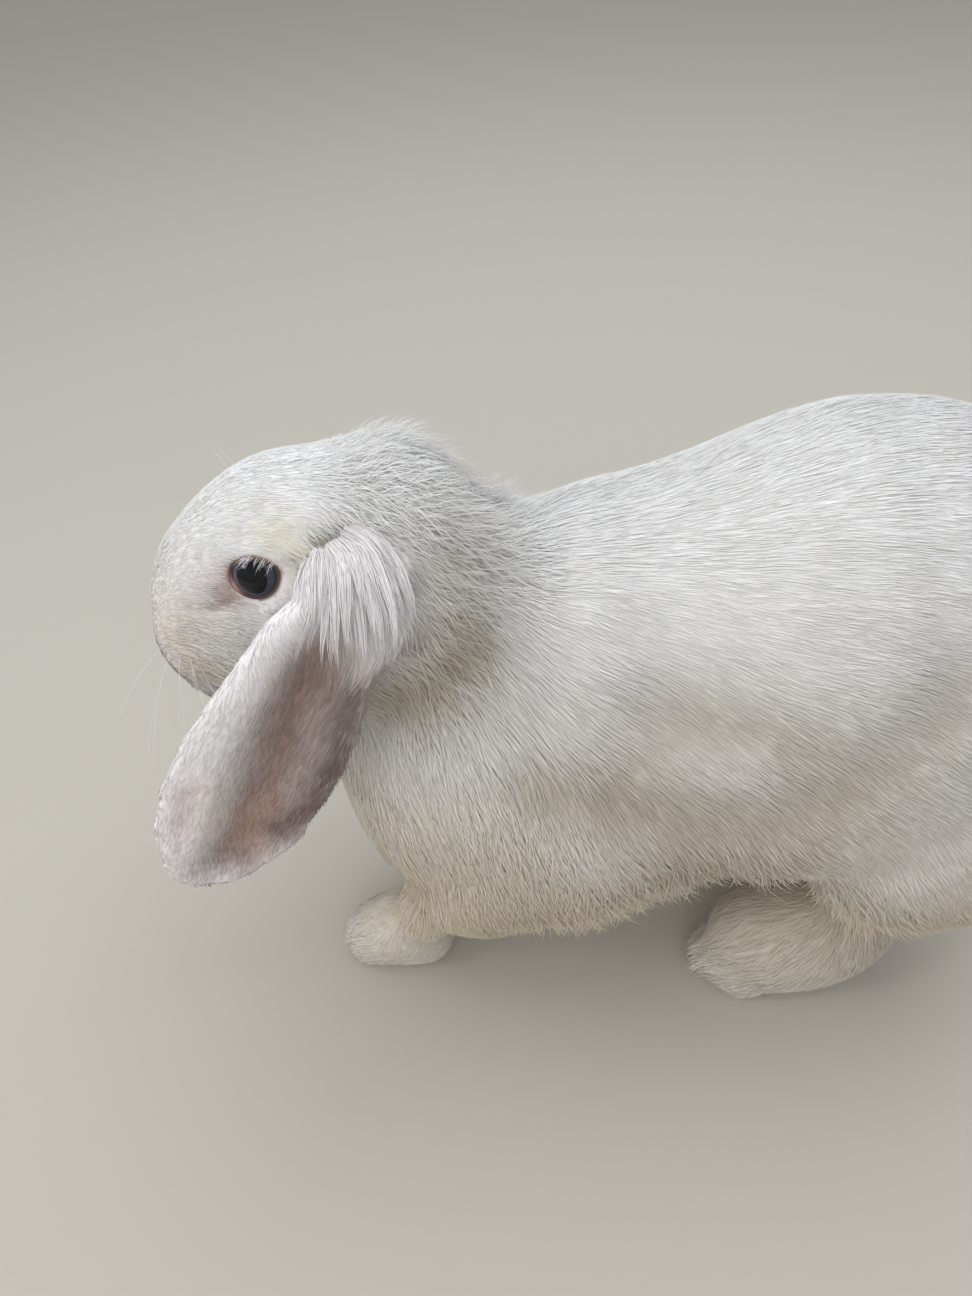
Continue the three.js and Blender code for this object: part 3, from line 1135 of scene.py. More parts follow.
WHITE: Colour = (0.94, 0.945, 0.955)
# The colour that the coat turns towards low down: cream staining, darkened further as painted shade.
LOW_STAIN_AND_SHADE: Colour = (0.75, 0.665, 0.525)
EAR_WHITE: Colour = (0.93, 0.905, 0.93)
# The brown of the ring round the eye.
EYE_RING_BROWN: Colour = (0.62, 0.47, 0.4)
LID_RIM: Colour = (0.085, 0.048, 0.042)
LID_SKIN: Colour = (0.3, 0.225, 0.19)
LID_PINK: Colour = (0.5, 0.26, 0.24)
FOLD_SHADE: Colour = (0.51, 0.44, 0.345)
# Painted light: near white kept on the raised bulges of the flank and haunch, as if they caught the light.
PAINTED_LIGHT_PATCH: Colour = (0.9, 0.88, 0.855)
# Painted shade in the pocket behind the ear.
PAINTED_POCKET_SHADE: Colour = (0.52, 0.46, 0.37)
TINTS: tuple[Tint, ...] = (
    # Painted shade: the lower flank darkened to a warm grey.
    Tint(((0.053, -0.03, 0.156), (0.06, 0.0, 0.15), (0.064, 0.03, 0.148)), 0.03, (0.68, 0.63, 0.56), 0.45),
    Tint(UPPER_FOLD, 0.01, FOLD_SHADE, 0.55),
    Tint(FRONT_FOLD, 0.01, FOLD_SHADE, 0.5),
    Tint(LOWER_FOLD, 0.019, FOLD_SHADE, 0.45),
    Tint(THIGH_FOLD, 0.011, FOLD_SHADE, 0.6),
    Tint(((0.063, 0.0, 0.106), (0.065, 0.025, 0.112)), 0.014, FOLD_SHADE, 0.55),
    # Painted shade: the upper flank darkened to a warm grey.
    Tint(((0.06, 0.06, 0.175), (0.064, 0.03, 0.165), (0.058, 0.01, 0.176)), 0.02, (0.8, 0.77, 0.72), 0.5),
    # Painted light on the raised bulges of the flank and haunch.
    Tint(((0.071, 0.0765, 0.11), (0.07, 0.062, 0.108)), 0.024, PAINTED_LIGHT_PATCH, 0.8),
    Tint(((0.0614, 0.0145, 0.1525), (0.059, -0.002, 0.156)), 0.008, PAINTED_LIGHT_PATCH, 0.6),
    Tint(((0.0587, -0.035, 0.1225), (0.0622, -0.0257, 0.1154)), 0.012, PAINTED_LIGHT_PATCH, 0.6),
    Tint(((0.022, -0.142, 0.168), (0.026, -0.13, 0.175)), 0.024, (0.94, 0.93, 0.905), 0.7),
    Tint(((0.01, -0.156, 0.188), (0.018, -0.155, 0.172)), 0.012, (0.88, 0.82, 0.76), 0.6),
    # The ear's mauve skin, darkened with painted shade along the furrow.
    Tint(
        ((0.0475, -0.1, 0.18), (0.0505, -0.111, 0.156), (0.051, -0.122, 0.134)),
        0.012, (0.42, 0.34, 0.33), 0.75,
    ),
    # The inner ear's mauve skin, painted darker still as shade in the hollow.
    Tint(EAR_HOLLOW, 0.0105, (0.3, 0.195, 0.165), 0.95),
    Tint(((0.0508, -0.131, 0.133), (0.0512, -0.139, 0.119)), 0.0075, (0.48, 0.29, 0.22), 0.6),
    # Painted shade deep in the ear's furrow, over its dark mauve skin.
    Tint(EAR_FURROW, 0.0056, (0.155, 0.105, 0.098), 0.95),
    Tint(((0.0589, -0.1465, 0.156), (0.059, -0.152, 0.138)), 0.006, (0.84, 0.72, 0.72), 0.6),
    Tint(
        ((0.0219, -0.133, 0.201), (0.0215, -0.1385, 0.1975), (0.02, -0.144, 0.193)),
        0.008, (0.76, 0.69, 0.68), 0.6,
    ),
    Tint(((0.0215, -0.131, 0.204), (0.0205, -0.1335, 0.201)), 0.006, (0.72, 0.6, 0.6), 0.6),
    Tint(((0.0222, -0.1288, 0.208), (0.0222, -0.1292, 0.203)), 0.0032, (0.43, 0.34, 0.31), 0.75),
    Tint(
        ((0.023, -0.1262, 0.1985), (0.0238, -0.1213, 0.1962), (0.024, -0.1163, 0.198)),
        0.0028, (0.64, 0.51, 0.48), 0.7,
    ),
    Tint(((0.0225, -0.1283, 0.1996), (0.0218, -0.1345, 0.1985)), 0.0026, (0.52, 0.4, 0.38), 0.75),
    Tint(TEAR_LINE[:3], 0.0016, (0.42, 0.33, 0.31), 0.9),
    Tint(((0.0212, -0.1355, 0.201), (0.0208, -0.1375, 0.1995)), 0.0012, (0.5, 0.42, 0.42), 0.8),
    Tint(
        ((0.019, -0.116, 0.2165), (0.0222, -0.1085, 0.2145), (0.0255, -0.1065, 0.2085)),
        0.0062, (0.91, 0.87, 0.72), 0.7,
    ),
    # Painted shade in the two pits near the ear's root.
    Tint(((0.0226, -0.1024, 0.2155), (0.0222, -0.1006, 0.2162)), 0.0018, (0.26, 0.22, 0.16), 0.9),
    Tint(((0.0219, -0.0972, 0.2172), (0.0216, -0.095, 0.218)), 0.0018, (0.26, 0.22, 0.16), 0.85),
    # Painted shade on the neck behind the ear, where the ear shades it.
    Tint(
        ((0.025, -0.0686, 0.207), (0.0343, -0.0735, 0.186), (0.0335, -0.089, 0.166)),
        0.014, (0.74, 0.7, 0.62), 0.6,
    ),
    # Painted shade in the pocket behind the ear.
    Tint(
        ((0.0338, -0.0663, 0.185), (0.0345, -0.075, 0.174), (0.0334, -0.0891, 0.1659)),
        0.011, PAINTED_POCKET_SHADE, 0.8,
    ),
    # Painted shade: a darker spot on the side of the muzzle.
    Tint(((0.0183, -0.1524, 0.1789), (0.0204, -0.148, 0.17)), 0.007, (0.78, 0.7, 0.6), 0.7),
    Tint(((0.02, -0.148, 0.19), (0.019, -0.152, 0.186)), 0.006, (0.8, 0.76, 0.71), 0.5),
    Tint(((0.0215, -0.144, 0.186), (0.024, -0.138, 0.184)), 0.004, (0.78, 0.73, 0.66), 0.5),
    Tint(((0.0, -0.166, 0.17), (0.0, -0.164, 0.157)), 0.0045, (0.8, 0.66, 0.63), 0.6),
    Tint(
        ((0.0, -0.1625, 0.156), (0.006, -0.159, 0.1535), (0.013, -0.15, 0.154)),
        0.0018, (0.62, 0.5, 0.46), 0.55,
    ),
    Tint(((0.0032, -0.164, 0.1715), (0.0062, -0.1625, 0.1745)), 0.0013, (0.52, 0.36, 0.34), 0.7),
)


@dataclass(frozen=True)
class Spot:
    """A place where the coat is longer, shorter or stands up more than its zone's.

    Args:
        at: The place on the left side, in metres.
        reach: How far from it the change fades, in metres.
        length: A tuft's length there, in metres.
        lift: How far a tuft's tip stands over the skin there, in metres.
        lock: How much the tufts draw together in fine locks there.
        mane: How much they draw together in broad locks there.
        frizz: How unruly they are there.
    """

    at: Point
    reach: float
    length: float
    lift: float
    lock: float = 0.5
    mane: float = 0.0
    frizz: float = 0.0


SPOTS: tuple[Spot, ...] = (
    Spot((0.0, -0.162, 0.168), 0.02, 0.0026, 0.0006, 0.1),
    Spot((0.018, -0.156, 0.17), 0.011, 0.0046, 0.0006, 0.3, 0.1, 0.5),
    Spot((0.012, -0.15, 0.15), 0.012, 0.007, 0.0014, 0.4, 0.2, 0.5),
    Spot((0.0263, -0.1331, 0.1845), 0.012, 0.0085, 0.0012, 0.4, 0.2, 0.4),
    Spot((0.0233, -0.1416, 0.1698), 0.012, 0.0085, 0.0012, 0.4, 0.2, 0.4),
    Spot((0.022, -0.147, 0.183), 0.009, 0.0066, 0.001, 0.4, 0.2, 0.4),
    Spot((0.008, -0.118, 0.218), 0.016, 0.006, 0.0009, 0.3),
    Spot((0.006, -0.145, 0.202), 0.018, 0.005, 0.0008, 0.1, 0.0, 0.02),
    Spot((0.01, -0.13, 0.213), 0.016, 0.0054, 0.0009, 0.1, 0.0, 0.04),
    Spot((0.012, -0.086, 0.2255), 0.012, 0.01, 0.0034, 0.6, 0.3, 1.0),
    Spot((0.014, -0.073, 0.22), 0.013, 0.011, 0.0036, 0.6, 0.3, 1.2),
    Spot((0.013, -0.059, 0.205), 0.012, 0.013, 0.006, 0.6, 0.4, 1.4),
    Spot((0.023, -0.06, 0.204), 0.012, 0.01, 0.003, 0.5, 0.3, 1.0),
    Spot((0.03, -0.07, 0.194), 0.014, 0.01, 0.003, 0.5, 0.3, 1.0),
    Spot((0.035, -0.076, 0.178), 0.016, 0.011, 0.003, 0.5, 0.3, 0.9),
    Spot((0.034, -0.1, 0.16), 0.016, 0.008, 0.0022, 0.4, 0.0, 0.5),
    Spot((0.023, -0.102, 0.215), 0.008, 0.006, 0.0016, 0.4, 0.3, 0.6),
    Spot((0.027, -0.107, 0.208), 0.008, 0.0042, 0.001, 0.3, 0.0, 0.4),
    Spot((0.044, -0.098, 0.188), 0.008, 0.01, 0.0012, 0.4, 0.4),
    Spot((0.05, -0.02, 0.072), 0.02, 0.015, 0.0042, 0.6, 0.3, 0.9),
    Spot((0.042, 0.03, 0.068), 0.02, 0.015, 0.0042, 0.6, 0.3, 0.9),
    Spot((0.063, 0.0, 0.098), 0.014, 0.012, 0.004, 0.7, 0.4, 1.2),
    Spot((0.06, -0.024, 0.085), 0.014, 0.012, 0.004, 0.7, 0.4, 1.2),
    Spot((0.053, -0.042, 0.068), 0.014, 0.012, 0.0036, 0.7, 0.4, 1.2),
    Spot((0.064, 0.024, 0.106), 0.014, 0.012, 0.004, 0.7, 0.4, 1.2),
    Spot((0.06, 0.05, 0.082), 0.014, 0.012, 0.0036, 0.7, 0.4, 1.2),
    Spot((0.062, 0.07, 0.07), 0.016, 0.012, 0.0036, 0.7, 0.4, 1.2),
    Spot((0.056, -0.05, 0.115), 0.03, 0.015, 0.0022, 0.7, 0.5, 0.4),
    Spot((0.0, 0.16, 0.135), 0.03, 0.015, 0.0055, 0.6, 0.3, 1.0),
    Spot((0.045, 0.02, 0.01), 0.014, 0.0085, 0.003, 0.6, 0.4, 0.5),
    Spot((0.024, -0.118, 0.009), 0.013, 0.007, 0.0026, 0.6, 0.4, 0.5),
    Spot((0.0515, -0.153, 0.103), 0.009, 0.0032, 0.0008, 0.2, 0.0, 0.6),
)


# ---------------------------------------------------------------- nodes


def add_node(
    tree: bpy.types.NodeTree,
    kind: str,
    inputs: Inputs | None = None,
    **settings: object,
) -> bpy.types.Node:
    """A new node in a tree.

    Args:
        tree: The tree.
        kind: The node's type.
        inputs: What each input gets, by its name or number: an output that is joined to it, or a value.
        settings: The node's own settings, which are made first.

    Returns:
        The node.
    """
    made = tree.nodes.new(kind)
    for key, value in settings.items():
        setattr(made, key, value)
    for key, value in (inputs or {}).items():
        source = value.socket if isinstance(value, Wire) else value
        if isinstance(source, bpy.types.NodeSocket):
            tree.links.new(source, made.inputs[key])
        else:
            made.inputs[key].default_value = source
    return made


class Wire:
    """An output of a node tree that is worked with as a number or a vector is."""

    def __init__(self, tree: bpy.types.NodeTree, socket: bpy.types.NodeSocket) -> None:
        """Holds the tree and the output."""
        self.tree = tree
        self.socket = socket

    @property
    def is_vector(self) -> bool:
        """Whether the output is a vector."""
        return self.socket.type in {"VECTOR", "ROTATION"}

    def maths(self, work: str, other: object = None) -> "Wire":
        """The result of one step of arithmetic on this output.

        Args:
            work: The step's name.
            other: The second value, if the step has one.

        Returns:
            The step's output.
        """
        vector = self.is_vector or (isinstance(other, Wire) and other.is_vector)
        given = {0: self}
        if other is not None:
            given["Scale" if work == "SCALE" else 1] = other
        kind = "ShaderNodeVectorMath" if vector else "ShaderNodeMath"
        outputs = add_node(self.tree, kind, given, operation=work).outputs
        return Wire(self.tree, outputs["Value" if work == "DOT_PRODUCT" else 0])

    def __add__(self, other: object) -> "Wire":
        """The sum."""
        return self.maths("ADD", other)

    def __sub__(self, other: object) -> "Wire":
        """The difference."""
        return self.maths("SUBTRACT", other)

    def __mul__(self, other: object) -> "Wire":
        """Multiplies this output.

        Args:
            other: An output, a number or a vector.

        Returns:
            The product, where a vector is scaled by a number.
        """
        if self.is_vector and not (isinstance(other, Wire) and other.is_vector):
            return self.maths("SCALE", other)
        return self.maths("MULTIPLY", other)

    def __pow__(self, other: object) -> "Wire":
        """The power."""
        return self.maths("POWER", other)

    def from_one(self) -> "Wire":
        """One minus this number."""
        node = add_node(self.tree, "ShaderNodeMath", {0: 1.0, 1: self}, operation="SUBTRACT")
        return Wire(self.tree, node.outputs[0])


# ---------------------------------------------------------------- finishes


class Paint:
    """A node material under construction, with short words for its usual nodes."""

    def __init__(self, name: str, roughness: float) -> None:
        """Starts a material with one surface shader.

        Args:
            name: The material's name.
            roughness: Its roughness.
        """
        self.material = bpy.data.materials.new(name)
        self.material.use_nodes = True
        self.tree = self.material.node_tree
        self.tree.nodes.clear()
        self.shader = self.node("ShaderNodeBsdfPrincipled", {"Roughness": roughness})
        self.node("ShaderNodeOutputMaterial", {"Surface": self.shader.outputs["BSDF"]})

    def node(self, kind: str, inputs: Inputs | None = None, **settings: object) -> bpy.types.Node:
        """A new node with those inputs and settings."""
        return add_node(self.tree, kind, inputs, **settings)

    def finish(self, colour: bpy.types.NodeSocket, **inputs: float) -> bpy.types.Material:
        """Gives the shader its colour and its other values.

        Args:
            colour: The colour's socket.
            inputs: The shader's other values, by name, with underscores for spaces.

        Returns:
            The material.
        """
        self.tree.links.new(colour, self.shader.inputs["Base Color"])
        for name, value in inputs.items():
            self.shader.inputs[name.replace("_", " ")].default_value = value
        return self.material

    def attribute(self, name: str, output: str = "Fac") -> bpy.types.NodeSocket:
        """One of the piece's own attributes."""
        return self.node("ShaderNodeAttribute", attribute_name=name).outputs[output]

    def noise(self, scale: float, detail: float = 3.0) -> bpy.types.NodeSocket:
        """A noise pattern on Object coordinates.

        Args:
            scale: How fine it is.
            detail: How much finer detail it has.

        Returns:
            The pattern's socket.
        """
        place = self.node("ShaderNodeTexCoord").outputs["Object"]
        given = {"Scale": scale, "Detail": detail, "Vector": place}
        return self.node("ShaderNodeTexNoise", given).outputs["Fac"]

    def mix(self, share: object, one: object, two: object, way: str = "MIX") -> bpy.types.NodeSocket:
        """Two colours mixed.

        Args:
            share: The second colour's share, a socket or a number.
            one: The first colour, a socket or four numbers.
            two: The second colour, a socket or four numbers.
            way: How they are mixed.

        Returns:
            The mixed colour's socket.
        """
        given = {0: share, 6: one, 7: two}
        return self.node("ShaderNodeMix", given, data_type="RGBA", blend_type=way).outputs[2]

    def bumped(self, height: bpy.types.NodeSocket, distance: float, strength: float) -> None:
        """Gives the shader a bump from that height."""
        made = self.node("ShaderNodeBump", {"Distance": distance, "Strength": strength, "Height": height})
        self.tree.links.new(made.outputs["Normal"], self.shader.inputs["Normal"])


def opaque(colour: Colour, share: float = 1.0) -> tuple[float, float, float, float]:
    """A colour with its alpha, darkened by a share."""
    return (colour[0] * share, colour[1] * share, colour[2] * share, 1.0)


def grey(level: float) -> tuple[float, float, float, float]:
    """A grey with its alpha."""
    return opaque((level, level, level))


@dataclass(frozen=True)
class SkinFinish:
    """The skin's finish: the coat's own tint, a fine nap and a soft bump, with painted shade in the nap's
    hollows.

    Args:
        roughness: The surface's roughness.
        nap_scale: How fine the nap is.
        nap_height: How high it is, in metres.
        nap_shade: How dark its hollows are painted, as painted shade.
    """

    roughness: float = 0.75
    nap_scale: float = 900.0
    nap_height: float = 0.0003
    nap_shade: float = 0.88

    def make(self) -> bpy.types.Material:
        """Builds the material.

        Returns:
            The material.
        """
        paint = Paint("skin_nap", self.roughness)
        nap = paint.noise(self.nap_scale)
        paint.bumped(nap, self.nap_height, 0.4)
        # Painted shade: the skin darker where the nap's bump is low.
        shade = paint.mix(nap, grey(self.nap_shade), grey(1.0))
        return paint.finish(paint.mix(1.0, paint.attribute("tint", "Color"), shade, "MULTIPLY"))


# ---------------------------------------------------------------- eyes


@dataclass(frozen=True)
class EyeFinish:
    """The eyeball's finish: pupil, iris and white, by the angle off the gaze.

    Args:
        pupil: The colour of the pupil.
        inner: The iris's colour beside the pupil.
        outer: The iris's colour at its rim.
        white: The colour of the white.
    """

    pupil: Colour = (0.004, 0.004, 0.005)
    inner: Colour = (0.062, 0.064, 0.092)
    outer: Colour = (0.022, 0.022, 0.032)
    white: Colour = (0.5, 0.4, 0.38)

    def make(self) -> bpy.types.Material:
        """Builds the material, which reads the attributes off_gaze and spoke.

        Returns:
            The material.
        """
        paint = Paint("eye_gloss", 0.12)
        ramp = paint.node("ShaderNodeValToRGB", {"Fac": paint.attribute("off_gaze")})
        elements = ramp.color_ramp.elements
        stops = (
            (0.0, self.pupil), (0.33, self.pupil), (0.365, self.inner), (0.48, self.inner),
            (0.555, self.outer), (0.585, self.outer), (0.62, self.white), (1.0, self.white),
        )
        while len(elements) < len(stops):
            elements.new(0.5)
        for element, (place, colour) in zip(elements, stops):
            element.position = place
            element.color = opaque(colour)
        spoke = paint.attribute("spoke", "Vector")
        streak = paint.node("ShaderNodeTexNoise", {"Scale": 9.0, "Detail": 4.0, "Vector": spoke})
        lit = paint.mix(streak.outputs["Fac"], grey(0.55), grey(1.5))
        colour = paint.mix(1.0, ramp.outputs["Color"], lit, "MULTIPLY")
        return paint.finish(colour, Specular_IOR_Level=0.2, Coat_Weight=0.3, Coat_Roughness=0.02)


@dataclass
class Eyeball:
    """One eyeball with its bulging cornea.

    Args:
        eye: Where it lies and looks.
        rings: How many rings of faces run from the front to the back.
        around: How many faces each ring has.
        bulge: How far the cornea stands over the ball, in metres.
        hidden: How much smaller the ball is behind the lids, in metres.
        cornea: How far off the gaze the cornea reaches, in degrees.
        behind: Where the ball grows smaller behind the lids, in degrees off the gaze.
    """

    eye: Eye
    rings: int = 48
    around: int = 96
    bulge: float = 0.0005
    hidden: float = 0.0012
    cornea: float = 52.0
    behind: Range = (62.0, 85.0)

    def build(self, finish: bpy.types.Material) -> bpy.types.Object:
        """Makes the eyeball in place of the frame's.

        Args:
            finish: Its material.

        Returns:
            The eyeball's object.
        """
        off = np.linspace(0.0, np.pi, self.rings + 1)[1:-1]
        turn = np.linspace(0.0, 2.0 * np.pi, self.around, endpoint=False)
        grid_off, grid_turn = np.meshgrid(off, turn, indexing="ij")
        rise = self.bulge * np.clip(1.0 - (grid_off / math.radians(self.cornea)) ** 2, 0.0, 1.0)
        rise -= self.hidden * smooth_step(*np.radians(self.behind), grid_off)
        ways = self.eye.ways(grid_off, grid_turn)
        ring_places = self.eye.middle + ways * (self.eye.radius + rise)[..., None]
        poles = [self.eye.middle + self.eye.out * (self.eye.radius + self.bulge),
                 self.eye.middle - self.eye.out * self.eye.radius]
        ball = bmesh.new()
        first = ball.verts.new(poles[0])
        rows = [[ball.verts.new(place) for place in ring] for ring in ring_places]
        last = ball.verts.new(poles[1])
        for i in range(self.around):
            ball.faces.new((first, rows[0][i - 1], rows[0][i]))
            ball.faces.new((last, rows[-1][i], rows[-1][i - 1]))
            for one, two in zip(rows[:-1], rows[1:]):
                ball.faces.new((one[i - 1], two[i - 1], two[i], one[i]))
        bmesh.ops.recalc_face_normals(ball, faces=ball.faces)
        for face in ball.faces:
            face.smooth = True
        mesh = to_mesh(f"{self.eye.side.word}_eyeball", ball)
        flat_off = np.concatenate(([0.0], grid_off.ravel(), [np.pi]))
        flat_turn = np.concatenate(([0.0], grid_turn.ravel(), [0.0]))
        oval = 1.0 + 0.1 * np.cos(2.0 * flat_turn)
        store(mesh, "off_gaze", flat_off * oval / np.radians(95.0))
        store(mesh, "spoke", np.stack((np.cos(flat_turn), np.sin(flat_turn), flat_off * 0.15), axis=1) * 2.0)
        mesh.materials.append(finish)
        ball_object = new_object(mesh.name, mesh)
        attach(ball_object, ROOT_BODY)
        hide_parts(f"{self.eye.side.word}_eye")
        return ball_object


# ---------------------------------------------------------------- coat


@dataclass(frozen=True)
class Comb:
    """One stroke of the brush: how the hair lies at a place on the left side.

    Args:
        at: The place, in metres.
        way: The way that the hair points.
    """

    at: Point
    way: Point


HEAD_COMBS: tuple[Comb, ...] = (
    Comb((0.006, -0.164, 0.166), (0.25, 0.75, 0.45)),
    Comb((0.004, -0.15, 0.19), (0.1, 0.85, 0.45)),
    Comb((0.01, -0.12, 0.218), (0.12, 1.0, 0.05)),
    Comb((0.01, -0.08, 0.23), (0.15, 1.0, -0.2)),
    Comb((0.022, -0.14, 0.19), (0.3, 0.9, 0.12)),
    Comb((0.022, -0.14, 0.17), (0.3, 0.9, -0.35)),
    Comb((0.03, -0.105, 0.205), (0.2, 0.95, -0.12)),
    Comb((0.036, -0.105, 0.175), (0.2, 0.75, -0.65)),
    Comb((0.034, -0.085, 0.155), (0.1, 0.65, -0.8)),
    Comb((0.01, -0.11, 0.14), (0.2, 0.9, -0.35)),
    Comb((0.008, -0.145, 0.148), (0.2, 0.9, -0.3)),
    Comb((0.026, -0.089, 0.215), (0.25, 0.8, -0.45)),
    Comb((0.027, -0.096, 0.212), (0.26, 0.6, -0.75)),
    Comb((0.029, -0.103, 0.208), (0.55, 0.3, -0.78)),
)
EAR_COMBS: tuple[Comb, ...] = (
    Comb((0.03, -0.088, 0.208), (0.3, 0.7, -0.65)),
    Comb((0.036, -0.094, 0.207), (0.4, 0.45, -0.75)),
    Comb((0.043, -0.096, 0.2), (0.1, 0.45, -0.9)),
    Comb((0.045, -0.092, 0.188), (0.0, 0.25, -0.97)),
)
BODY_COMBS: tuple[Comb, ...] = (
    Comb((0.02, -0.06, 0.215), (0.15, 0.9, -0.4)),
    Comb((0.034, -0.055, 0.18), (0.1, 0.62, -0.8)),
    Comb((0.036, -0.07, 0.14), (0.05, 0.35, -0.95)),
    Comb((0.01, -0.105, 0.11), (0.1, 0.25, -0.97)),
    Comb((0.035, -0.09, 0.09), (0.1, 0.22, -0.97)),
    Comb((0.0, -0.03, 0.195), (0.0, 1.0, -0.1)),
    Comb((0.04, -0.03, 0.175), (0.05, 0.85, -0.5)),
    Comb((0.058, -0.04, 0.13), (0.0, 0.3, -0.95)),
    Comb((0.06, -0.045, 0.085), (0.0, 0.18, -1.0)),
    Comb((0.062, -0.01, 0.15), (0.0, 0.75, -0.65)),
    Comb((0.064, -0.005, 0.105), (0.0, 0.38, -0.92)),
    Comb((0.05, 0.0, 0.065), (0.0, 0.35, -0.95)),
    Comb((0.0, 0.04, 0.22), (0.0, 1.0, 0.0)),
    Comb((0.05, 0.035, 0.195), (0.0, 0.97, -0.25)),
    Comb((0.066, 0.04, 0.15), (0.0, 0.82, -0.55)),
    Comb((0.066, 0.04, 0.1), (0.0, 0.55, -0.82)),
    Comb((0.045, 0.04, 0.062), (0.0, 0.55, -0.8)),
    Comb((0.0, 0.1, 0.22), (0.0, 0.98, -0.2)),
    Comb((0.05, 0.095, 0.19), (0.0, 0.92, -0.4)),
    Comb((0.068, 0.085, 0.15), (0.0, 0.8, -0.6)),
    Comb((0.066, 0.07, 0.105), (0.0, 0.55, -0.85)),
    Comb((0.062, 0.06, 0.07), (0.0, 0.35, -0.95)),
    Comb((0.068, 0.11, 0.11), (0.0, 0.6, -0.8)),
    Comb((0.062, 0.11, 0.07), (0.0, 0.45, -0.9)),
    Comb((0.045, 0.14, 0.16), (0.05, 0.55, -0.85)),
    Comb((0.04, 0.15, 0.1), (0.1, 0.35, -0.95)),
    Comb((0.0, 0.152, 0.17), (0.0, 0.3, -0.95)),
    Comb((0.0, 0.155, 0.09), (0.2, 0.2, -0.95)),
    Comb((0.0, -0.06, 0.068), (0.25, 0.9, -0.2)),
    Comb((0.0, 0.02, 0.055), (0.3, 0.95, -0.1)),
    Comb((0.0, 0.09, 0.06), (0.3, 0.9, -0.2)),
)
LEG_COMBS: tuple[Comb, ...] = (
    Comb((0.04, -0.05, 0.09), (0.0, 0.25, -0.97)),
    Comb((0.044, -0.06, 0.05), (0.1, 0.3, -0.95)),
    Comb((0.034, -0.092, 0.03), (0.05, -0.3, -0.95)),
    Comb((0.03, -0.09, 0.018), (0.1, -0.85, -0.45)),
    Comb((0.022, -0.115, 0.012), (0.05, -0.95, -0.35)),
    Comb((0.044, 0.085, 0.03), (0.1, -0.2, -0.95)),
    Comb((0.044, 0.06, 0.024), (0.1, -0.8, -0.6)),
    Comb((0.044, 0.035, 0.014), (0.05, -0.92, -0.45)),
)
TAIL_COMBS: tuple[Comb, ...] = (
    Comb((0.0, 0.135, 0.1), (0.0, 0.8, 0.2)),
    Comb((0.0, 0.15, 0.11), (0.0, 0.5, 0.85)),
    Comb((0.0, 0.152, 0.14), (0.0, 0.05, 1.0)),
)
EAR_LINE: tuple[Point, ...] = (
    (0.018, -0.072, 0.203),
    (0.031, -0.082, 0.206),
    (0.043, -0.101, 0.197),
    (0.05, -0.119, 0.171),
    (0.052, -0.135, 0.144),
    (0.053, -0.147, 0.119),
    (0.051, -0.158, 0.094),
)


class Lie:
    """The way that the hair lies everywhere on the skin."""

    def __init__(self, skin: Skin) -> None:
        """Reads the skin's net and normals.

        Args:
            skin: The skin.
        """
        self.skin = skin
        self.net = skin.net
        self.normals = skin.net.normals(1)

    def combed(self, combs: tuple[Comb, ...], reach: float) -> Array:
        """The way that some combs give each vertex.

        Args:
            combs: The strokes.
            reach: How far each stroke is felt, in metres.

        Returns:
            One vector for each vertex.
        """
        ways = np.zeros_like(self.net.places)
        for comb in combs:
            for side in Side:
                gap = np.linalg.norm(self.net.places - mirrored(comb.at, side), axis=1)
                weight = 1.0 / (gap**2 + reach**2) ** 2
                ways += weight[:, None] * unit(mirrored(comb.way, side))
        return unit(ways)

    def along_ears(self) -> Array:
        """The way along the ears, from root to tip.

        Returns:
            One vector for each vertex.
        """
        ways = np.zeros_like(self.net.places)
        for side in Side:
            corners = np.array([mirrored(point, side) for point in EAR_LINE])
            for start, end in zip(corners[:-1], corners[1:]):
                gap = np.linalg.norm(self.net.places - (start + end) / 2, axis=1)
                ways += unit(end - start) / (gap**2 + 0.006**2)[:, None] ** 2
        near = bump(np.abs(self.net.places[:, 2] - 0.208), 0.018)[:, None]
        return unit(unit(ways) * (1 - near) + self.combed(EAR_COMBS, 0.004) * near)

    def on_skin(self) -> Array:
        """The way that the hair lies, flat on the skin.

        Returns:
            One vector for each vertex.
        """
        body = self.combed(BODY_COMBS, 0.012)
        legs = self.combed(LEG_COMBS, 0.008)
        given = {
            Zone.HEAD: self.combed(HEAD_COMBS, 0.006),
            Zone.NECK: body,
            Zone.TRUNK: body,
            Zone.HAUNCH: body,
            Zone.TAIL: self.combed(TAIL_COMBS, 0.01),
            Zone.FORELEG: legs,
            Zone.FOREPAW: legs,
            Zone.HIND_FOOT: legs,
            Zone.EAR: self.along_ears(),
        }
        ways = sum(self.skin.share_of(zone)[:, None] * way for zone, way in given.items())
        for _ in range(3):
            ways = ways - self.normals * np.sum(ways * self.normals, axis=1, keepdims=True)
            ways = self.net.spread(unit(ways), 4)
        ways = ways - self.normals * np.sum(ways * self.normals, axis=1, keepdims=True)
        return unit(ways)


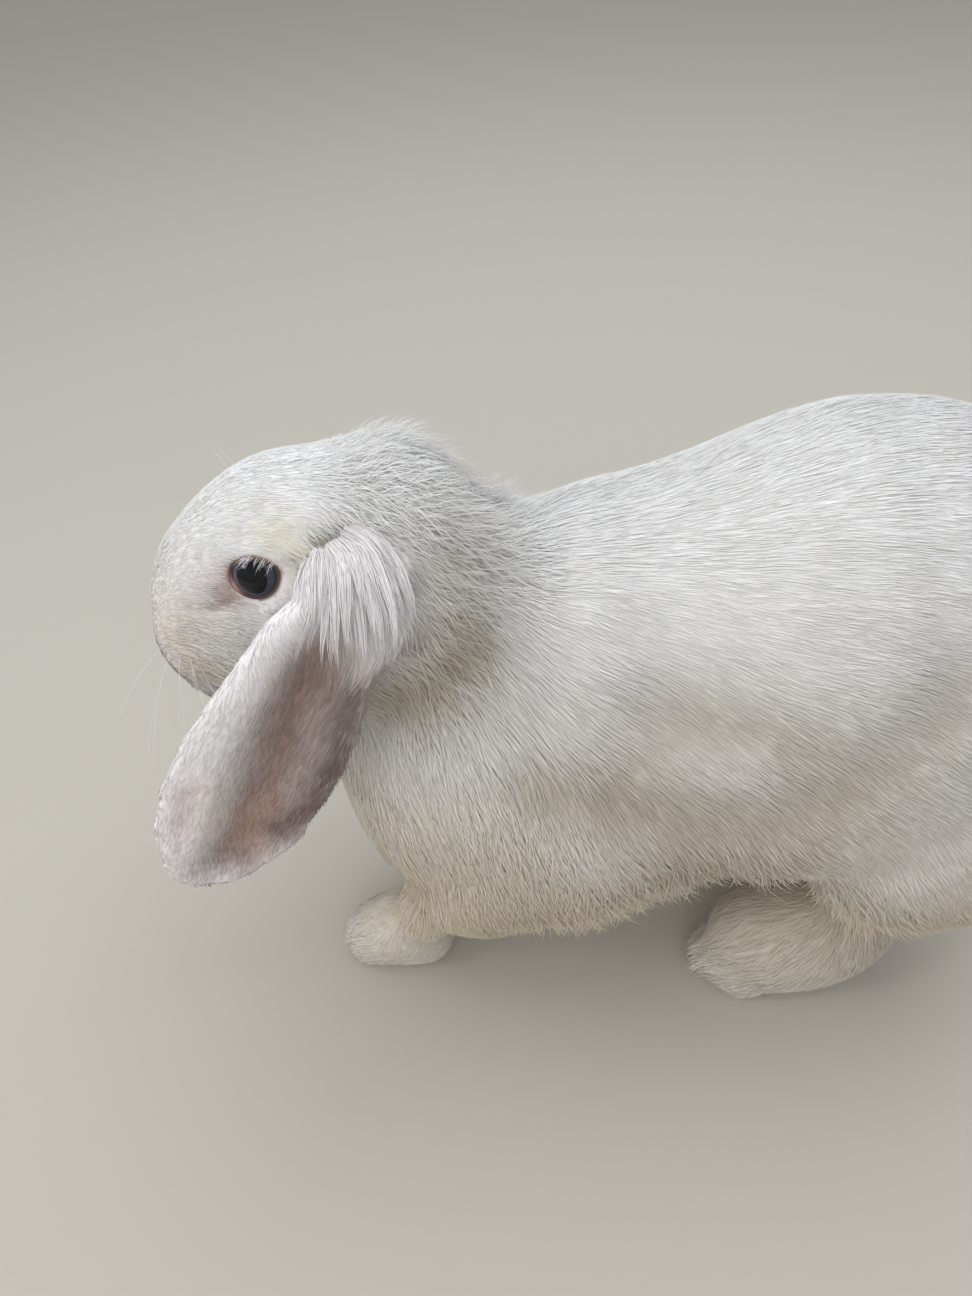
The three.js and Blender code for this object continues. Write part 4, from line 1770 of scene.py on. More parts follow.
@dataclass
class TuftTree:
    """The tree of nodes that grows tufts over the skin.

    Args:
        segments: How many lengths a tuft is bent in.
        seed: The number that fixes what is random.
        stretch: The least and the most of a tuft's length, as shares of the skin's own.
        height: The least and the most of its tip's height, in the same way.
        fans: How many waves to a metre turn the tufts aside together.
        fan: How far those turn them.
        waves: How many waves to a metre raise the tufts together.
        wave: How far those raise them.
        locks: How many fine locks there are to a metre.
        manes: How many broad locks there are to a metre.
        flat: How thick a tuft is against its width.
        clear: How high over the floor a tuft stays, in metres.
        patch: The size of a tuft's patch of the map, of the skin's map.
    """

    segments: int
    seed: int
    stretch: tuple[float, float] = (0.72, 1.18)
    height: tuple[float, float] = (0.55, 1.12)
    fans: float = 95.0
    fan: float = 0.45
    waves: float = 240.0
    wave: float = 0.28
    locks: float = 460.0
    manes: float = 190.0
    flat: float = 0.55
    clear: float = 0.0003
    patch: float = 0.0026

    def wire(self, kind: str, output: str | int, inputs: Inputs | None = None, **settings: object) -> Wire:
        """One output of a new node with those inputs and settings."""
        return Wire(self.tree, add_node(self.tree, kind, inputs, **settings).outputs[output])

    def named(self, name: str, kind: str = "FLOAT") -> Wire:
        """An attribute of the geometry by its name."""
        return self.wire("GeometryNodeInputNamedAttribute", "Attribute", {"Name": name}, data_type=kind)

    def vector(self, name: str) -> Wire:
        """A vector attribute of the geometry by its name."""
        return self.named(name, "FLOAT_VECTOR")

    def position(self) -> Wire:
        """The places of the geometry's points."""
        return self.wire("GeometryNodeInputPosition", 0)

    def chance(self, low: float, high: float, salt: int) -> Wire:
        """A random number for each point."""
        given = {2: low, 3: high, "Seed": self.seed * 31 + salt}
        return self.wire("FunctionNodeRandomValue", 1, given, data_type="FLOAT")

    def keep(
        self, geometry: Wire, name: str, value: Wire, kind: str = "FLOAT", domain: str = "POINT"
    ) -> Wire:
        """The geometry with a value stored on it under a name."""
        given = {"Geometry": geometry, "Name": name, "Value": value}
        return self.wire("GeometryNodeStoreNamedAttribute", "Geometry", given, data_type=kind, domain=domain)

    def noise(self, place: Wire, scale: float, shift: float) -> Wire:
        """A noise from about -1 to 1 at a place."""
        given = {"Scale": scale, "Detail": 1.0, "Vector": place + (shift, shift * 0.7, -shift)}
        return (self.wire("ShaderNodeTexNoise", "Fac", given) - 0.5) * 3.2

    def blank(self) -> Wire:
        """Makes the plain tuft.

        Returns:
            A closed three-sided spindle, one long, with its own places stored.
        """
        given = {"Vertices": 3, "Side Segments": self.segments, "Radius Bottom": 1.0, "Depth": 1.0}
        cone = self.wire("GeometryNodeMeshCone", "Mesh", {"Radius Top": 0.0, **given})
        return self.keep(cone, "own", self.position(), "FLOAT_VECTOR")

    def build(self, name: str, finish: bpy.types.Material) -> bpy.types.NodeTree:
        """Makes the tree.

        Args:
            name: The tree's name.
            finish: The tufts' material.

        Returns:
            The tree, whose inputs are the skin, how many tufts it grows and how far apart they stay.
        """
        self.tree = bpy.data.node_groups.new(name, "GeometryNodeTree")
        sockets = (
            ("Geometry", "INPUT", "Geometry"),
            (MOST_INPUT, "INPUT", "Float"),
            (SPACING_INPUT, "INPUT", "Float"),
            ("Geometry", "OUTPUT", "Geometry"),
        )
        for word, way, kind in sockets:
            self.tree.interface.new_socket(word, in_out=way, socket_type="NodeSocket" + kind)
        ground, most, spacing = add_node(self.tree, "NodeGroupInput").outputs[:3]
        given = {
            "Mesh": ground,
            "Density Max": most,
            "Distance Min": spacing,
            "Density Factor": self.named("grown"),
            "Seed": self.seed,
        }
        scatter = "GeometryNodeDistributePointsOnFaces"
        points = self.wire(scatter, "Points", given, distribute_method="POISSON")
        position = self.position()
        points = self.keep(points, "root", position, "FLOAT_VECTOR")
        clumps = self.noise(position, 170.0, 5.9) * 0.38
        for word, value in (
            ("stretch", self.chance(*self.stretch, 1)),
            ("height", self.chance(*self.height, 2)),
            ("lean", self.chance(-1.0, 1.0, 3)),
            ("shade", self.chance(0.0, 1.0, 4) * 0.55 + clumps + 0.22),
            ("stand", self.chance(0.0, 1.0, 5)),
        ):
            points = self.keep(points, word, value)
        given = {"Points": points, "Instance": self.blank()}
        onto = self.wire("GeometryNodeInstanceOnPoints", "Instances", given)
        real = self.wire("GeometryNodeRealizeInstances", "Geometry", {"Geometry": onto})
        shaped = self.shaped(real, Wire(self.tree, ground))
        smooth = self.wire("GeometryNodeSetShadeSmooth", "Geometry", {"Geometry": shaped})
        coated = self.wire("GeometryNodeSetMaterial", "Geometry", {"Geometry": smooth, "Material": finish})
        add_node(self.tree, "NodeGroupOutput", {0: coated})
        return self.tree

    def shaped(self, geometry: Wire, ground: Wire) -> Wire:
        """The tufts laid along the coat, bent, drawn into locks and given their patch of the map.

        Args:
            geometry: The plain tufts at their roots.
            ground: The skin.

        Returns:
            The shaped tufts.
        """
        split = add_node(self.tree, "ShaderNodeSeparateXYZ", {0: self.vector("own")}).outputs
        across, over, along = (Wire(self.tree, output) for output in split)
        root = self.vector("root")
        out = self.vector("outward").maths("NORMALIZE")
        side = out.maths("CROSS_PRODUCT", self.vector("lie")).maths("NORMALIZE")
        ahead = side.maths("CROSS_PRODUCT", out).maths("NORMALIZE")
        lock = self.named("lock")
        frizz = self.named("frizz")
        fan = self.noise(root, self.fans, 7.7) * self.fan * lock + self.named("lean") * (frizz * 1.3 + 0.05)
        turned = (ahead + side * (fan * 0.55)).maths("NORMALIZE")
        length = self.named("length") * self.named("stretch")
        high = self.noise(root, self.waves, 11.3) * self.wave * lock
        lift = self.named("lift") * (self.named("height") + high + (self.named("stand") ** 3.0) * frizz * 1.7)
        rise = lift * (along.from_one() ** 1.8).from_one() - ROOT_DEPTH
        middle = root + turned * (length * along) + out * rise
        drawn = self.to_lock(root, self.locks) * (lock * 0.45)
        drawn = drawn + self.to_lock(root, self.manes) * self.named("mane")
        drawn = drawn - out * drawn.maths("DOT_PRODUCT", out)
        middle = self.over_skin(ground, middle + drawn * (along ** 1.4), rise)
        thick = self.named("width") * (self.named("stretch") ** 0.5) * 0.5 * (along * 2.9 + 0.45)
        ring = out.maths("CROSS_PRODUCT", turned).maths("NORMALIZE") * (across * thick)
        place = (middle + ring + out * (over * thick * self.flat)).maths("MAXIMUM", (-1.0, -1.0, self.clear))
        given = {"Geometry": self.keep(geometry, "tip", along), "Position": place}
        moved = self.wire("GeometryNodeSetPosition", "Geometry", given)
        upward = along * self.patch + over * 0.0004 - self.patch / 2
        aside = self.wire("ShaderNodeCombineXYZ", 0, {0: across * 0.0007, 1: upward})
        return self.keep(moved, UV_NAME, self.vector("map_place") + aside, "FLOAT2", "CORNER")

    def sampled(self, ground: Wire, value: Wire, place: Wire) -> Wire:
        """A value of the skin at the point of it that is nearest to a place."""
        given = {"Mesh": ground, "Value": value, "Sample Position": place}
        return self.wire("GeometryNodeSampleNearestSurface", "Value", given, data_type="FLOAT_VECTOR")

    def over_skin(self, ground: Wire, place: Wire, rise: Wire) -> Wire:
        """Brings a tuft's place to its own height over the skin under it.

        Args:
            ground: The skin.
            place: The tuft's place.
            rise: The height over the skin that it should have.

        Returns:
            The place, moved out or in.
        """
        under = self.sampled(ground, self.position(), place)
        out = self.sampled(ground, self.vector("outward"), place).maths("NORMALIZE")
        short = rise - (place - under).maths("DOT_PRODUCT", out)
        return place + out * short.maths("MAXIMUM", short * 0.6)

    def to_lock(self, root: Wire, scale: float) -> Wire:
        """The step from a root to the middle of the lock that it belongs to, for locks of 1 / scale."""
        return self.wire("ShaderNodeTexVoronoi", "Position", {"Scale": scale, "Vector": root}) - root


class CoatPiece(Enum):
    """The pieces that the coat is divided in, each with its name and how many tufts it has."""

    LEFT_FACE = ("left_face_coat", 17500)
    RIGHT_FACE = ("right_face_coat", 8500)
    NAPE = ("nape_coat", 12000)
    LEFT_EAR = ("left_ear_coat", 12000)
    RIGHT_EAR = ("right_ear_coat", 6000)
    BACK = ("back_coat", 12500)
    LEFT_SHOULDER = ("left_shoulder_coat", 15500)
    LEFT_FLANK = ("left_flank_coat", 18000)
    RIGHT_SIDE = ("right_side_coat", 14000)
    UNDERSIDE = ("underside_coat", 5500)
    REAR = ("rear_coat", 8000)
    LEFT_FEET = ("left_feet_coat", 8500)
    RIGHT_FEET = ("right_feet_coat", 5500)


@dataclass
class Coat:
    """The coat of tufts over the whole skin.

    Args:
        skin: The skin, whose mesh carries what the tufts read.
        finish: The tufts' material.
        segments: How many lengths a tuft is bent in.
        seed: The number that fixes what is random.
        nape_back: Where along Y the nape's piece begins on the head, in metres.
        nape_top: Where up Z it does, in metres.
        rear: Where along Y the rear's piece begins, in metres.
        shoulder: Where along Y the shoulder's piece begins, going forwards, in metres.
        low: How far the skin faces down where the underside's piece begins.
        top: How far it faces up where the back's piece begins.
        crowding: How many more tufts are tried than wanted, as some fall too near another.
        spacing: How near two tufts may grow, against their mean distance.
    """

    skin: Skin
    finish: bpy.types.Material
    segments: int = 2
    seed: int = 4
    quick_share: float = 0.3
    nape_back: Range = (-0.092, -0.084)
    nape_top: Range = (0.185, 0.195)
    rear: Range = (0.118, 0.128)
    shoulder: Range = (0.014, 0.006)
    low: Range = (-0.45, -0.65)
    top: Range = (0.6, 0.72)
    crowding: float = 1.28
    spacing: float = 0.42

    def build(self) -> list[bpy.types.Object]:
        """Grows every piece of the coat, and lays the hairs of the ears and the face.

        Returns:
            The pieces' objects.
        """
        masks = self.masks()
        made = [self.grow(piece, masks[piece], number) for number, piece in enumerate(CoatPiece)]
        tree = self.skin.net.tree()
        for side in Side:
            for hairs in (EarLocks(side, hairs=22 if side is Side.LEFT else 12), FaceHairs(side)):
                made.append(hairs.build(self.skin, tree, self.finish))
                self.soften(made[-1].data, 0.6)
        return made

    def masks(self) -> dict[CoatPiece, Array]:
        """How much of each piece grows where.

        Returns:
            One share for each vertex, for each piece; the pieces' shares add up to 1.
        """
        x, y, z = self.skin.net.places.T
        share = {zone: self.skin.share_of(zone) for zone in ZONES}
        up = self.skin.net.normals(8)[:, 2]
        left = (x > 0).astype(float)
        feet = share[Zone.FOREPAW] + share[Zone.HIND_FOOT]
        nape = smooth_step(*self.nape_back, y) * smooth_step(*self.nape_top, z)
        body = share[Zone.TRUNK] + share[Zone.HAUNCH] + share[Zone.FORELEG]
        rear = smooth_step(*self.rear, y)
        low = smooth_step(*self.low, up)
        top = smooth_step(*self.top, up)
        forward = smooth_step(*self.shoulder, y)
        sides = body * (1 - rear) * (1 - low) * (1 - top)
        return {
            CoatPiece.LEFT_FACE: share[Zone.HEAD] * (1 - nape) * left,
            CoatPiece.RIGHT_FACE: share[Zone.HEAD] * (1 - nape) * (1 - left),
            CoatPiece.NAPE: share[Zone.NECK] + share[Zone.HEAD] * nape,
            CoatPiece.LEFT_EAR: share[Zone.EAR] * left,
            CoatPiece.RIGHT_EAR: share[Zone.EAR] * (1 - left),
            CoatPiece.BACK: body * (1 - rear) * (1 - low) * top,
            CoatPiece.LEFT_SHOULDER: sides * left * forward,
            CoatPiece.LEFT_FLANK: sides * left * (1 - forward),
            CoatPiece.RIGHT_SIDE: sides * (1 - left),
            CoatPiece.UNDERSIDE: body * (1 - rear) * low,
            CoatPiece.REAR: body * rear + share[Zone.TAIL],
            CoatPiece.LEFT_FEET: feet * left,
            CoatPiece.RIGHT_FEET: feet * (1 - left),
        }

    def grow(self, piece: CoatPiece, mask: Array, number: int) -> bpy.types.Object:
        """Grows one piece of the coat as a plain mesh.

        Args:
            piece: The piece.
            mask: How much of it grows at each vertex.
            number: The piece's number, which fixes what is random in it.

        Returns:
            The piece's object.
        """
        name, budget = piece.value
        mesh = self.skin.net.mesh.copy()
        grown = mask * self.skin.density
        grown = np.where(grown > 0.02, grown, 0.0)
        area = float((grown * self.skin.vertex_areas()).sum())
        per_area = budget * 1.0 / max(area, SMALL)
        store(mesh, "grown", grown)
        carrier = new_object(name + "_ground", mesh)
        tree = TuftTree(self.segments, self.seed + number).build(name + "_tree", self.finish)
        nodes = carrier.modifiers.new("tufts", "NODES")
        nodes.node_group = tree
        inputs = {s.name: s.identifier for s in tree.interface.items_tree if s.in_out == "INPUT"}
        nodes[inputs[MOST_INPUT]] = per_area * self.crowding
        nodes[inputs[SPACING_INPUT]] = self.spacing / math.sqrt(per_area)
        result = evaluated(carrier)
        drop_object(carrier)
        result.name = name
        self.soften(result, 0.85 if "face" in name else 0.8)
        return new_object(name, result)

    def soften(self, mesh: bpy.types.Mesh, share: float) -> None:
        """Turns the tufts' shading normals towards the skin's, so that the coat looks soft.

        Args:
            mesh: The tufts, which lose the attributes that only the growing needed.
            share: How much of the skin's normal is taken.
        """
        flat = unit(read(mesh.attributes["outward"].data, "vector", 3, np.float32))
        own = read(mesh.vertex_normals, "vector", 3, np.float32)
        toward = smooth_step(-0.9, 0.5, np.sum(own * flat, axis=1))
        shares = (share * (0.5 + 0.5 * toward))[:, None]
        normals = unit(own * (1 - shares) + flat * shares)
        kept = {"position", "tint", "shade", "tip", UV_NAME, "material_index", "sharp_face"}
        for name in [a.name for a in mesh.attributes if a.name not in kept and not a.name.startswith(".")]:
            mesh.attributes.remove(mesh.attributes[name])
        mesh.normals_split_custom_set_from_vertices(normals.tolist())


def along_curve(points: Array, shares: Array) -> Array:
    """Places on the smooth curve through some points.

    Args:
        points: The points.
        shares: How far along the curve each wanted place lies, from 0 to 1.

    Returns:
        One place for each share.
    """
    padded = np.vstack((2 * points[0] - points[1], points, 2 * points[-1] - points[-2]))
    scaled = shares * (len(points) - 1)
    first = np.minimum(scaled.astype(int), len(points) - 2)
    step = (scaled - first)[:, None]
    one, two, three, four = (padded[first + i] for i in range(4))
    return 0.5 * (
        2 * two
        + (three - one) * step
        + (2 * one - 5 * two + 4 * three - four) * step**2
        + (3 * two - one - 3 * three + four) * step**3
    )


@dataclass
class Strands:
    """Hairs that are laid one by one, gathered in one mesh.

    Args:
        skin: The skin that they grow from.
        tree: A search tree over it.
        bends: How many rings of vertices each hair has.
        colour: The hairs' colour.
    """

    skin: Skin
    tree: BVHTree
    bends: int = 6
    colour: Colour = (0.94, 0.92, 0.95)

    def __post_init__(self) -> None:
        """Starts with no hairs."""
        self.paths: list[Array] = []
        self.widths: list[float] = []
        self.shades: list[float] = []

    def add(self, path: Array, width: float, shade: float) -> None:
        """Adds one hair.

        Args:
            path: The hair's places, from root to tip.
            width: Its width, in metres.
            shade: Its shade, from 0 to 1.
        """
        self.paths.append(path)
        self.widths.append(width)
        self.shades.append(shade)

    def build(self, name: str, finish: bpy.types.Material) -> bpy.types.Object:
        """Makes the hairs' mesh.

        Args:
            name: The object's name.
            finish: Its material.

        Returns:
            The object.
        """
        paths = np.array(self.paths)
        count, bends = paths.shape[:2]
        hits = [self.tree.find_nearest(Vector(path[0])) for path in paths]
        out = unit(np.array([tuple(hit[1]) for hit in hits]))
        along = unit(np.gradient(paths, axis=1))
        across = unit(np.cross(out[:, None, :], along))
        over = np.cross(along, across)
        shares = np.linspace(0.0, 1.0, bends)
        taper = (0.55 + 0.45 * bump(shares - 0.35, 0.6)) * (1.0 - shares**3)
        thick = np.array(self.widths)[:, None] * taper * 0.5
        rings = []
        for turn in (90.0, 210.0, 330.0):
            aside, above = math.cos(math.radians(turn)), math.sin(math.radians(turn))
            rings.append(paths + (across * aside + over * above * 0.8) * thick[..., None])
        ring_places = np.stack(rings, axis=2)[:, :-1].reshape(count, -1, 3)
        tips = paths[:, -1:, :]
        places = np.concatenate((ring_places, tips), axis=1)
        per_hair = places.shape[1]
        pattern: list[tuple[int, ...]] = [(2, 1, 0)]
        for ring in range(bends - 2):
            low, high = ring * 3, ring * 3 + 3
            pattern += [(low + i, low + (i + 1) % 3, high + (i + 1) % 3, high + i) for i in range(3)]
        last = (bends - 2) * 3
        pattern += [(last + i, last + (i + 1) % 3, per_hair - 1) for i in range(3)]
        faces = [tuple(i + hair * per_hair for i in face) for hair in range(count) for face in pattern]
        mesh = bpy.data.meshes.new(name)
        mesh.from_pydata(places.reshape(-1, 3).tolist(), [], faces)
        mesh.polygons.foreach_set("use_smooth", np.ones(len(faces), bool))
        mesh.materials.append(finish)
        height = np.append(np.repeat(shares[:-1], 3), 1.0)
        store(mesh, "tip", np.tile(height, count))
        store(mesh, "shade", np.repeat(np.array(self.shades), per_hair))
        corners = [self.skin.first_loops[hit[2]] for hit in hits]
        store(mesh, "tint", np.tile(opaque(self.colour), (count * per_hair, 1)))
        self.add_map(mesh, self.skin.map_places[corners], height, per_hair)
        store(mesh, "outward", np.repeat(out, per_hair, axis=0))
        return new_object(name, mesh)

    def add_map(self, mesh: bpy.types.Mesh, spots: Array, height: Array, per_hair: int) -> None:
        """Gives each hair its small patch of the skin's map.

        Args:
            mesh: The hairs' mesh.
            spots: Each hair's place on the map.
            height: How far along the hair each of its vertices lies.
            per_hair: How many vertices a hair has.
        """
        aside = np.append(np.tile((0.0, -0.0006, 0.0006), (per_hair - 1) // 3), 0.0)
        patch = np.stack((aside, height * 0.0026 - 0.0013), axis=1)
        places = (spots[:, None, :] + patch[None]).reshape(-1, 2)
        layer = mesh.uv_layers.new(name=UV_NAME)
        layer.data.foreach_set("uv", places[corners_of(mesh)].ravel().astype(np.float32))


@dataclass
class EarLocks:
    """The long pointed locks that fall over an ear's root from the swirl above it.

    Args:
        side: The side of the head.
        layers: For each layer, how many locks it has and how long they are against the guides.
        hairs: How many hairs a lock has.
        width: Half a lock's width, in metres.
        depth: How thick a lock is, in metres.
        layer_gap: How far one layer lies over the next, in metres.
        reach: The shortest and the longest lock of a layer, as shares of its guide.
        hair_reach: The shortest and the longest hair, as shares of its lock.
        hair_width: The thinnest and the thickest hair, in metres.
        sunk: How much nearer to the head the right ear's locks lie, in metres.
        seed: The number that fixes what is random.
    """

    side: Side
    layers: tuple[tuple[int, float], ...] = ((24, 1.0), (20, 0.8), (15, 0.6))
    hairs: int = 22
    width: float = 0.0021
    depth: float = 0.0008
    layer_gap: float = 0.0006
    reach: Range = (0.68, 1.04)
    hair_reach: Range = (0.7, 1.04)
    hair_width: Range = (0.00026, 0.00036)
    sunk: Point = (-0.003, 0.0, -0.0034)
    seed: int = 31

    GUIDES = (
        ((21, -92.5, 218.5), (28.5, -85, 218.5), (35, -78.5, 211),
         (38, -76.5, 200), (37.5, -78, 190)),
        ((24, -93.5, 217.5), (33, -87, 218.5), (40.5, -82.5, 208),
         (43.5, -82, 196), (43.5, -84.5, 186)),
        ((25.5, -95.5, 216.5), (35.5, -90.5, 218), (43.5, -88.5, 208.5),
         (46, -88.5, 196.5), (46.5, -90.5, 183.5)),
        ((26, -98, 215.5), (36.5, -95, 217.5), (44.5, -95, 209.5),
         (46.5, -96.5, 197), (46.5, -97, 184)),
        ((26.5, -101, 214), (36.5, -100.5, 216), (45, -101.5, 210.5),
         (48, -104.5, 202.5), (49, -107, 194)),
        ((26.5, -103.5, 212.5), (36.5, -105, 214), (45.5, -107.5, 208.5),
         (49.5, -111.5, 202), (51.5, -115.5, 195.5)),
    )

    def build(self, skin: Skin, tree: BVHTree, finish: bpy.types.Material) -> bpy.types.Object:
        """Makes the locks.

        Args:
            skin: The skin.
            tree: A search tree over it.
            finish: The hairs' material.

        Returns:
            The locks' object.
        """
        pick = np.random.default_rng(self.seed + int(self.side.value))
        strands = Strands(skin, tree)
        guides = np.array(self.GUIDES) / 1000.0
        for layer, (count, reach) in enumerate(self.layers):
            for number in range(count):
                share = (number + pick.uniform(0.15, 0.85)) / count * (len(guides) - 1)
                first = min(int(share), len(guides) - 2)
                middle = guides[first] * (1 - share + first) + guides[first + 1] * (share - first)
                middle = middle + pick.normal(0.0, 0.0006, 3)
                if self.side is Side.RIGHT:
                    middle = middle + np.array(self.sunk)
                self.lay_lock(strands, middle, reach * pick.uniform(*self.reach), layer, pick)
        return strands.build(f"{self.side.word}_ear_locks", finish)

    def lay_lock(
        self, strands: Strands, middle: Array, reach: float, layer: int, pick: np.random.Generator
    ) -> None:
        """Lays the hairs of one lock.

        Args:
            strands: The hairs that it is added to.
            middle: The corners of the lock's middle line on the left side.
            reach: The share of that line that it runs along.
            layer: The layer that it lies in, from the skin outwards.
            pick: What is random.
        """
        steps = np.linspace(0.0, 1.0, strands.bends)
        turned = (self.side.value, 1.0, 1.0)
        for _ in range(self.hairs):
            end = min(reach * pick.uniform(*self.hair_reach), 1.0)
            line = along_curve(middle, steps * end)
            way = unit(np.gradient(line, axis=0))
            out = unit(np.cross(way, np.cross((0.75, 0.25, 0.6), way)))
            across = np.cross(way, out)
            spread = (0.62 + 0.38 * bump(steps - 0.4, 0.5)) * (1.0 - 0.9 * steps**2.2)
            aside = pick.uniform(-1.0, 1.0) * self.width * spread
            above = pick.uniform(0.0, 1.0) * self.depth * spread
            above += (layer - 1) * self.layer_gap * (1.0 - 0.6 * steps)
            line = line + across * aside[:, None] + out * above[:, None]
            strands.add(line * turned, pick.uniform(*self.hair_width), pick.uniform(0.0, 1.0))


@dataclass
class FaceHairs:
    """The lashes over one eye and the whiskers of one side.

    Args:
        side: The side of the head.
        lashes: How many lashes there are.
        turn: Where they grow, in degrees from the front towards the top.
        past: How far past the lids' opening, in degrees.
        length: The shortest and the longest lash, in metres.
        width: The thinnest and the thickest lash, in metres.
        whisker: A whisker's width, in metres.
        seed: The number that fixes what is random.
    """

    side: Side
    lashes: int = 36
    turn: Range = (68.0, 150.0)
    past: Range = (3.0, 11.0)
    length: Range = (0.005, 0.008)
    width: Range = (0.00009, 0.00014)
    whisker: float = 0.00016
    seed: int = 53

    WHISKERS = (
        ((17.0, -153.0, 176.0), (0.75, -0.2, -0.3), 38.0),
        ((18.5, -151.0, 174.0), (0.8, 0.05, -0.35), 42.0),
        ((19.0, -148.5, 171.0), (0.72, 0.15, -0.55), 40.0),
        ((18.0, -151.5, 170.0), (0.7, -0.1, -0.6), 36.0),
        ((16.5, -153.5, 172.5), (0.65, -0.35, -0.45), 32.0),
        ((19.5, -147.5, 175.5), (0.85, 0.25, -0.15), 40.0),
        ((15.0, -155.5, 175.0), (0.6, -0.55, -0.25), 28.0),
        ((20.0, -145.5, 172.5), (0.75, 0.4, -0.45), 36.0),
        ((16.0, -130.5, 213.0), (0.45, -0.55, 0.65), 17.0),
        ((15.0, -128.0, 214.5), (0.35, -0.6, 0.7), 14.0),
    )

    def build(self, skin: Skin, tree: BVHTree, finish: bpy.types.Material) -> bpy.types.Object:
        """Makes the hairs.

        Args:
            skin: The skin.
            tree: A search tree over it.
            finish: Their material.

        Returns:
            The hairs' object.
        """
        pick = np.random.default_rng(self.seed + int(self.side.value))
        strands = Strands(skin, tree, 8)
        turned = np.array((self.side.value, 1.0, 1.0))
        steps = np.linspace(0.0, 1.0, strands.bends)[:, None]
        for start, way, length in self.WHISKERS:
            found = np.array(tree.find_nearest(Vector(np.array(start) / 1000.0 * turned))[0])
            reach = unit(np.array(way)) * turned * length / 1000.0
            droop = np.array((0.0, 0.25, -0.45)) * length / 1000.0
            strands.add(found + reach * steps + droop * steps**2.2 * 0.5, self.whisker, 0.9)
        eye = Eye(self.side)
        for _ in range(self.lashes):
            turn = np.array([math.radians(pick.uniform(*self.turn))])
            off = eye.rim(turn) + math.radians(pick.uniform(*self.past))
            way = eye.ways(off, turn)[0]
            root = eye.middle + way * (eye.radius + 0.0008)
            away = unit(eye.out + way * 0.5)
            length = pick.uniform(*self.length)
            fall = -eye.up * pick.uniform(0.35, 0.75) + eye.front * pick.uniform(0.05, 0.55)
            line = root + away * length * 0.4 * (1 - (1 - steps) ** 1.8) + fall * length * 0.75 * steps**1.4
            strands.add(line, pick.uniform(*self.width), 0.9)
        return strands.build(f"{self.side.word}_lashes_and_whiskers", finish)


@dataclass(frozen=True)
class CoatFinish:
    """The coat's finish: the skin's tint, lighter and darker from tuft to tuft, and lighter towards the tips
    over a painted shade at the roots.

    Args:
        name: The material's name.
        roughness: The surface's roughness.
        dark_tuft: What the darkest tuft's tint is multiplied by.
        root: What the tint is multiplied by at the roots, a painted shade under the coat.
        patch: What it is multiplied by in the middle of a darker patch.
        pale_share: How far the lightest tufts go towards white where the skin is tinted.
    """

    name: str = "coat_hair"
    roughness: float = 0.62
    dark_tuft: Colour = (0.865, 0.845, 0.82)
    root: Colour = (0.95, 0.942, 0.932)
    patch: Colour = (0.97, 0.966, 0.96)
    pale_share: float = 0.3

    def make(self) -> bpy.types.Material:
        """Builds the material.

        Returns:
            The material.
        """
        paint = Paint(self.name, self.roughness)
        paint.bumped(paint.noise(1400.0, 2.0), 0.0001, 0.3)
        shade = paint.attribute("shade")
        tuft = paint.mix(shade, opaque(self.dark_tuft), grey(1.0))
        # Painted shade: the tufts darker towards their roots, under the coat.
        grown = paint.mix(paint.attribute("tip"), opaque(self.root), grey(1.0))
        wide = paint.mix(paint.noise(45.0, 2.0), opaque(self.patch), grey(1.0))
        pale = {"Value": shade, "From Min": 0.55, "From Max": 0.95, "To Max": self.pale_share}
        share = paint.node("ShaderNodeMapRange", pale).outputs["Result"]
        colour = paint.mix(share, paint.attribute("tint", "Color"), opaque(EAR_WHITE))
        shades = paint.mix(1.0, paint.mix(1.0, tuft, grown, "MULTIPLY"), wide, "MULTIPLY")
        return paint.finish(paint.mix(1.0, colour, shades, "MULTIPLY"), Specular_IOR_Level=0.12)


# ---------------------------------------------------------------- studio


